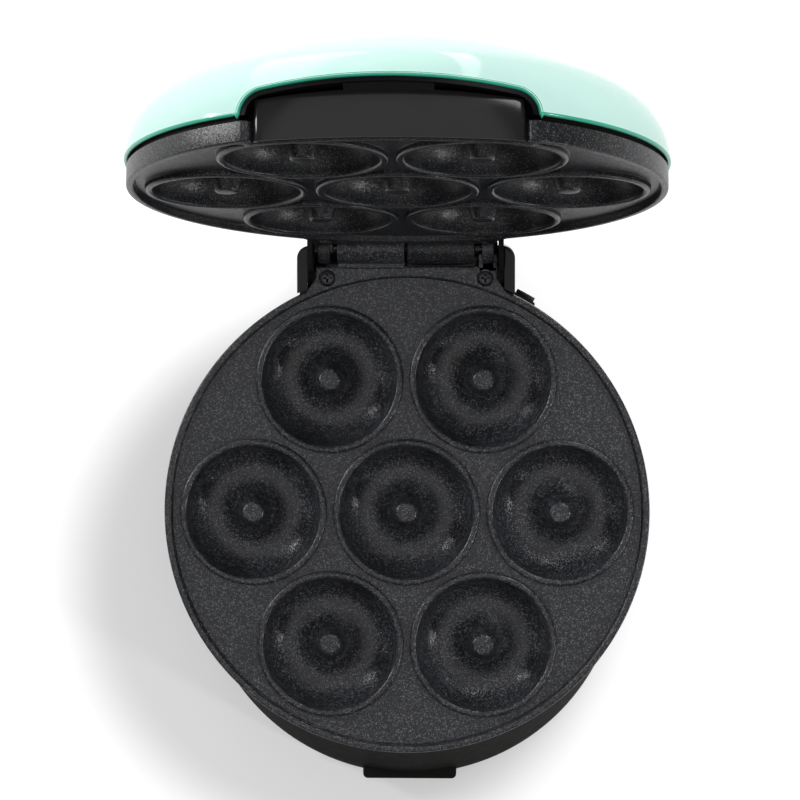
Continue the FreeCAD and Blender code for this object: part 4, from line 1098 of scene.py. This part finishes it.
@dataclass
class BaseShell:
    """Black base: a skewed bowl with a front tab, and the hinge block with its two cheeks."""

    top_r: float = 99.4
    foot_r: float = 90.0
    chin_y: float = -28.0
    heel_y: float = 8.0
    top_z: float = -7.7
    top_split: float = 0.5
    top_round: float = 0.6
    band_z: float = -46.0
    foot_z: float = -50.0
    foot_round: float = 0.8
    nick: float = 0.2
    edge: float = 0.5
    wall: float = 2.5
    ledge_r: float = 94.6
    ledge_thick: float = 2.5
    tab_half: float = 20.0
    tab_front: float = -119.6
    tab_height: float = 7.0
    tab_corner: float = 2.0
    tab_root: float = 60.0
    block_half: float = 44.5
    block_front: float = 79.9
    block_rear: float = 109.9
    block_corner: float = 5.0
    cheek_inner: float = 40.2
    cheek_top: float = 3.0
    cheek_root: float = 3.0
    cheek_round: float = 1.3
    deck_z: float = -11.0
    plate_room: float = 100.8
    gland_angle: float = 61.0
    gland_drop: float = 30.0
    gland_span: Flat = (88.1, 100.4)
    gland_r: float = 5.4
    gland_bore: float = 3.6

    def oval(self, radius: float, front: float, rear: float) -> list[Flat]:
        """Level outline of two arcs joined by straight sides.

        Args:
            radius: of both arcs.
            front: the front arc's centre.
            rear: the rear arc's centre.

        Returns:
            The outline's points.
        """
        points = sweep((0, front), radius, 180, 360, 96)
        points += [(radius, front + (rear - front) * i / 4) for i in (1, 2, 3)]
        points += sweep((0, rear), radius, 0, 180, 96)
        points += [(-radius, rear + (front - rear) * i / 4) for i in (1, 2, 3)]
        return points

    def level(self, z: float, inset: float) -> list[Point]:
        """Outline of the bowl at one height.

        Args:
            z: the height.
            inset: depth below the outer skin.

        Returns:
            The outline's points.
        """
        share = min(max((self.top_z - z) / (self.top_z - self.band_z), 0.0), 1.0)
        upper = self.oval(self.top_r - inset, -self.top_split, self.top_split)
        lower = self.oval(self.foot_r - inset, self.chin_y, self.heel_y)
        return [(a[0] + (b[0] - a[0]) * share, a[1] + (b[1] - a[1]) * share, z) for a, b in zip(upper, lower)]

    def bowl(self) -> Solid:
        """The bowl with its ledge.

        Returns:
            The solid.
        """
        top, foot = self.top_z, self.foot_z
        steps = [top - self.top_round + (self.band_z - top + self.top_round) * i / 8 for i in range(9)]
        ledge = self.oval(self.ledge_r, -self.top_split, self.top_split)
        # From the ledge over the rounded top edge, down the outside, round the foot and up the inside
        loops = [at_height(ledge, top), self.level(top, self.top_round), self.level(top - self.nick, self.nick)]
        loops += [self.level(z, 0.0) for z in steps]
        loops += [self.level(foot + self.foot_round, 0.0), self.level(foot + self.nick, self.nick),
                  self.level(foot, self.foot_round)]
        loops += [self.level(foot, self.wall), self.level(self.band_z, self.wall)]
        under = top - self.ledge_thick
        loops += [self.level(under, self.wall), at_height(ledge, under)]
        return skinned(loops, ring=True)

    def block(self) -> Solid:
        """Lower part of the hinge block, up to the deck.

        Returns:
            The solid.
        """
        outline = [(self.block_half, self.block_front)]
        outline += sweep((self.block_half - self.block_corner, self.block_rear - self.block_corner),
                         self.block_corner, 0, 90, 8)
        outline += [(-x, y) for x, y in reversed(outline)]
        return extruded(at_height(outline, self.foot_z), (0, 0, self.deck_z - self.foot_z), self.edge)

    def cheek(self, sign: float) -> Solid:
        """One cheek beside the hinge, with softly rounded upper edges.

        Args:
            sign: 1 on the right, -1 on the left.

        Returns:
            The solid.
        """
        inner, outer = self.cheek_inner, self.block_half
        inner_y = math.sqrt(self.plate_room ** 2 - inner ** 2)
        outer_y = math.sqrt(self.plate_room ** 2 - outer ** 2)
        outline = [(inner, inner_y), (outer, outer_y)]
        outline += sweep((outer - self.block_corner, self.block_rear - self.block_corner), self.block_corner, 0, 88, 8)
        outline += [(inner, self.block_rear)]
        low = self.deck_z - self.cheek_root
        bm = extruded(at_height([(sign * x, y) for x, y in outline], low), (0, 0, self.cheek_top - low))
        near_top = self.cheek_top - 0.1
        round_edges(bm, self.cheek_round, test=lambda e: min(v.co.z for v in e.verts) > near_top)
        return bm

    def tab(self) -> Solid:
        """Tab under the chin.

        Returns:
            The solid.
        """
        half, front, corner = self.tab_half, self.tab_front, self.tab_corner
        outline = [(half, self.chin_y - self.tab_root)]
        outline += sweep((half - corner, front + corner), corner, 0, -90, 6)
        outline += [(-x, y) for x, y in reversed(outline)]
        return extruded(at_height(outline, self.foot_z), (0, 0, self.tab_height), self.edge)

    def gland_seat(self) -> Solid:
        """Round seat of the cord's gland at the rear right.

        Returns:
            The solid.
        """
        near, far = self.gland_span
        profile = [(self.gland_bore, near), (self.gland_r, near), (self.gland_r, far - self.edge),
                   (self.gland_r - self.edge, far), (self.gland_bore, far)]
        turn = (Matrix.Translation((0, 0, -self.gland_drop))
                @ Matrix.Rotation(math.radians(self.gland_angle), 4, "Z") @ Matrix.Rotation(math.pi / 2, 4, "Y"))
        return spun(profile, 40, turn)

    def build(self) -> Item:
        """Builds and dresses the base.

        Returns:
            The bowl.
        """
        block = joined(self.block(), self.cheek(1.0), self.cheek(-1.0))
        add_piece("hinge_block", block, Side.BASE, GLOSS_BLACK, ["base_housing"])
        return add_piece("base_bowl", joined(self.bowl(), self.tab(), self.gland_seat()), Side.BASE, BLACK,
                         ["base_housing"])


@dataclass
class CarriedNodes:
    """CAD nodes whose shape is right: smoothed copies of those in view, new finishes on the rest."""

    weld_mm: float = 0.002
    crease: float = 32.0

    def smooth_copy(self, node: str, side: Side, finish: Finish) -> Item:
        """Merges a copy of one node's triangles, so that its round faces shade smoothly.

        Args:
            node: the CAD node.
            side: the body that it rides on.
            finish: what it is made of.

        Returns:
            The copy.
        """
        bm = bmesh.new()
        bm.from_mesh(frame["nodes"][node].data)
        bmesh.ops.remove_doubles(bm, verts=bm.verts[:], dist=self.weld_mm * MM)
        bmesh.ops.transform(bm, matrix=PLACE.matrix(side).inverted(), verts=bm.verts[:])
        return add_piece(node + "_smooth", bm, side, finish, [node], self.crease)

    def repaint(self, node: str, finish: Finish) -> None:
        """Gives a node its finish where it stands.

        Args:
            node: the CAD node.
            finish: what it is made of.
        """
        for slot in frame["nodes"][node].material_slots:
            slot.material = finish.material()
        LOG.info("%s: new finish %s", node, finish.slot)

    def build(self) -> None:
        """Dresses every node that no new piece stands for."""
        seen = {"lid_liner": (Side.LID, BLACK), "bottom_cover": (Side.BASE, MATT), "rubber_feet": (Side.BASE, FOOT),
                "cord_gland": (Side.BASE, GLAND), "flange_screws": (Side.BASE, OXIDE),
                "upper_flange_screws": (Side.LID, OXIDE), "bottom_screws": (Side.BASE, ZINC),
                "indicator_lens": (Side.LID, LENS), "hinge_pin": (Side.BASE, PIN)}
        for node, (side, finish) in seen.items():
            self.smooth_copy(node, side, finish)
        inner = {"plate_screws": ZINC, "lower_heater": SHEATH, "lower_heat_shield": SHEET, "lower_shield_screws": ZINC,
                 "thermostat": PHENOLIC, "thermostat_rivets": RIVET, "thermal_fuse": FUSE, "fuse_clip": CLIP,
                 "terminal_block": TERMINAL, "terminal_screw": ZINC, "cover_screws": ZINC, "handle_screws": ZINC,
                 "upper_plate_screws": ZINC, "upper_heater": SHEATH, "upper_heat_shield": SHEET,
                 "upper_shield_screws": ZINC, "indicator_lamp": LAMP}
        for node, finish in inner.items():
            self.repaint(node, finish)


@dataclass
class Studio:
    """White floor with a painted shadow, a soft grey area to the left of the object, soft light and the camera."""

    eye_mm: Point = (34.7, 128.5, 1141.6)
    eye_floor_mm: float = -0.3
    pitch: float = 4.1
    yaw: float = -1.87
    roll: float = 0.06
    focal_px: float = 2789.0
    frame_px: float = 800.0
    sensor_mm: float = 36.0
    clip_end: float = 10.0
    floor_half: float = 6.0
    floor_colour: str = "#B2B2B2"
    floor_lift: float = 0.75
    painted_shadow_lift: float = 0.5
    painted_shadow_at: Point = (-0.031, -0.069, 0.0)
    painted_shadow_span: Flat = (0.096, 0.132)
    world_strength: float = 0.15

    def camera(self) -> None:
        """Looks down on the opened part as the photograph does."""
        data = bpy.data.cameras.new("camera")
        data.sensor_width = self.sensor_mm
        data.lens = self.focal_px * self.sensor_mm / self.frame_px
        data.clip_end = self.clip_end
        eye = add_object("camera", data)
        x, y, z = self.eye_mm
        turn = (Matrix.Rotation(math.radians(self.roll), 4, "Z") @ Matrix.Rotation(math.radians(self.pitch), 4, "X")
                @ Matrix.Rotation(math.radians(self.yaw), 4, "Y"))
        spot = PLACE.matrix(Side.BASE) @ Vector((x, y, z + self.eye_floor_mm))
        eye.matrix_world = Matrix.Translation(spot) @ turn.transposed()
        bpy.context.scene.camera = eye

    def lamp(self, name: str, place: Point, aim: Point, size: Flat, power: float, lean: float = 0.0) -> None:
        """Adds one soft box.

        Args:
            name: the lamp's name.
            place: where it stands, in metres.
            aim: the point that it faces.
            size: its width and height.
            power: its power in watts.
            lean: turn about its own axis, in degrees.
        """
        data = bpy.data.lights.new(name, "AREA")
        data.shape, data.size, data.size_y, data.energy = "RECTANGLE", size[0], size[1], power
        lamp = add_object(name, data)
        lamp.location = place
        aimed = (Vector(aim) - Vector(place)).to_track_quat("-Z", "Y").to_matrix()
        lamp.rotation_euler = (aimed @ Matrix.Rotation(math.radians(lean), 3, "Z")).to_euler()

    def floor(self) -> None:
        """White floor that keeps the object's shadow; only its lift to white is dimmed in the grey area, a painted
        shadow.
        """
        bm = bmesh.new()
        bmesh.ops.create_grid(bm, x_segments=1, y_segments=1, size=self.floor_half)
        mesh = as_mesh("floor", bm)
        material = bpy.data.materials.new("floor_white")
        material.use_nodes = True
        tree = material.node_tree
        shader = tree.nodes["Principled BSDF"]
        for name, value in {"Base Color": srgb(self.floor_colour), "Roughness": 0.9, "Specular IOR Level": 0.1,
                            "Emission Color": srgb("#FFFFFF")}.items():
            shader.inputs[name].default_value = value
        path = add_node(tree, "ShaderNodeLightPath")
        seen = add_node(tree, "ShaderNodeMath", {"operation": "MAXIMUM"},
                        {0: path.outputs["Is Camera Ray"], 1: path.outputs["Is Transmission Ray"]})
        seen = add_node(tree, "ShaderNodeMath", {"operation": "MAXIMUM"},
                        {0: seen.outputs["Value"], 1: path.outputs["Is Glossy Ray"]})
        # Painted shadow: the lift to white fades to a share of itself in a soft disc round this point
        away = add_node(tree, "ShaderNodeVectorMath", {"operation": "DISTANCE", 1: self.painted_shadow_at},
                        {0: add_node(tree, "ShaderNodeTexCoord").outputs["Object"]})
        near, far = self.painted_shadow_span
        tone = add_node(tree, "ShaderNodeMapRange",
                        {"interpolation_type": "SMOOTHSTEP", "From Min": near, "From Max": far,
                         "To Min": self.floor_lift * self.painted_shadow_lift, "To Max": self.floor_lift},
                        {"Value": away.outputs["Value"]})
        lift = add_node(tree, "ShaderNodeMath", {"operation": "MULTIPLY"},
                        {0: seen.outputs["Value"], 1: tone.outputs["Result"]})
        tree.links.new(lift.outputs["Value"], shader.inputs["Emission Strength"])
        mesh.materials.append(material)
        add_object("floor", mesh)

    def world(self) -> None:
        """Dim even light all round."""
        world = bpy.data.worlds.new("studio")
        bpy.context.scene.world = world
        world.use_nodes = True
        sky = world.node_tree.nodes["Background"]
        sky.inputs["Color"].default_value = srgb("#FFFFFF")
        sky.inputs["Strength"].default_value = self.world_strength

    def build(self) -> None:
        """Sets up the whole studio."""
        bpy.context.scene.view_settings.view_transform = "Standard"
        self.world()
        self.floor()
        aim = (0.0, 0.0, 0.1)
        self.lamp("sky", (-0.1, 0.4, 1.75), (-0.1, 0.401, 0.0), size=(2.0, 2.8), power=13.5)
        self.lamp("key", (0.6, 0.98, 0.75), aim, size=(0.45, 0.45), power=5.9)
        self.lamp("side", (-0.92, 0.34, 0.44), aim, size=(0.2, 0.4), power=5.2)
        self.lamp("front", (1.05, -0.49, 0.67), aim, size=(0.12, 0.12), power=4.0)
        # Two tall cards behind the lid, which the dome mirrors
        self.lamp("card_left", (-0.175, 0.43, 0.15), (-0.035, 0.14, 0.24), size=(0.13, 0.38), power=0.45, lean=-25.0)
        self.lamp("card_right", (0.115, 0.445, 0.166), (0.023, 0.14, 0.24), size=(0.035, 0.38), power=0.2, lean=15.0)
        self.camera()


def main() -> None:
    """Builds the object's pieces, dresses the CAD nodes and sets up the studio."""
    logging.basicConfig(level=logging.INFO)
    arch, dome = Arch(), Dome()
    Casting("lower_casting", "lower_plate", Side.BASE, Facing.UP, False, COATING).build()
    # The lid's casting takes the coating with painted shade
    Casting("upper_casting", "upper_plate", Side.LID, Facing.DOWN, True, SHADED_LID_COATING).build()
    dome.build(arch)
    dome.lip(arch)
    Grip().build(arch, dome)
    BaseShell().build()
    CarriedNodes().build()
    Studio().build()


if __name__ == "__main__":
    main()
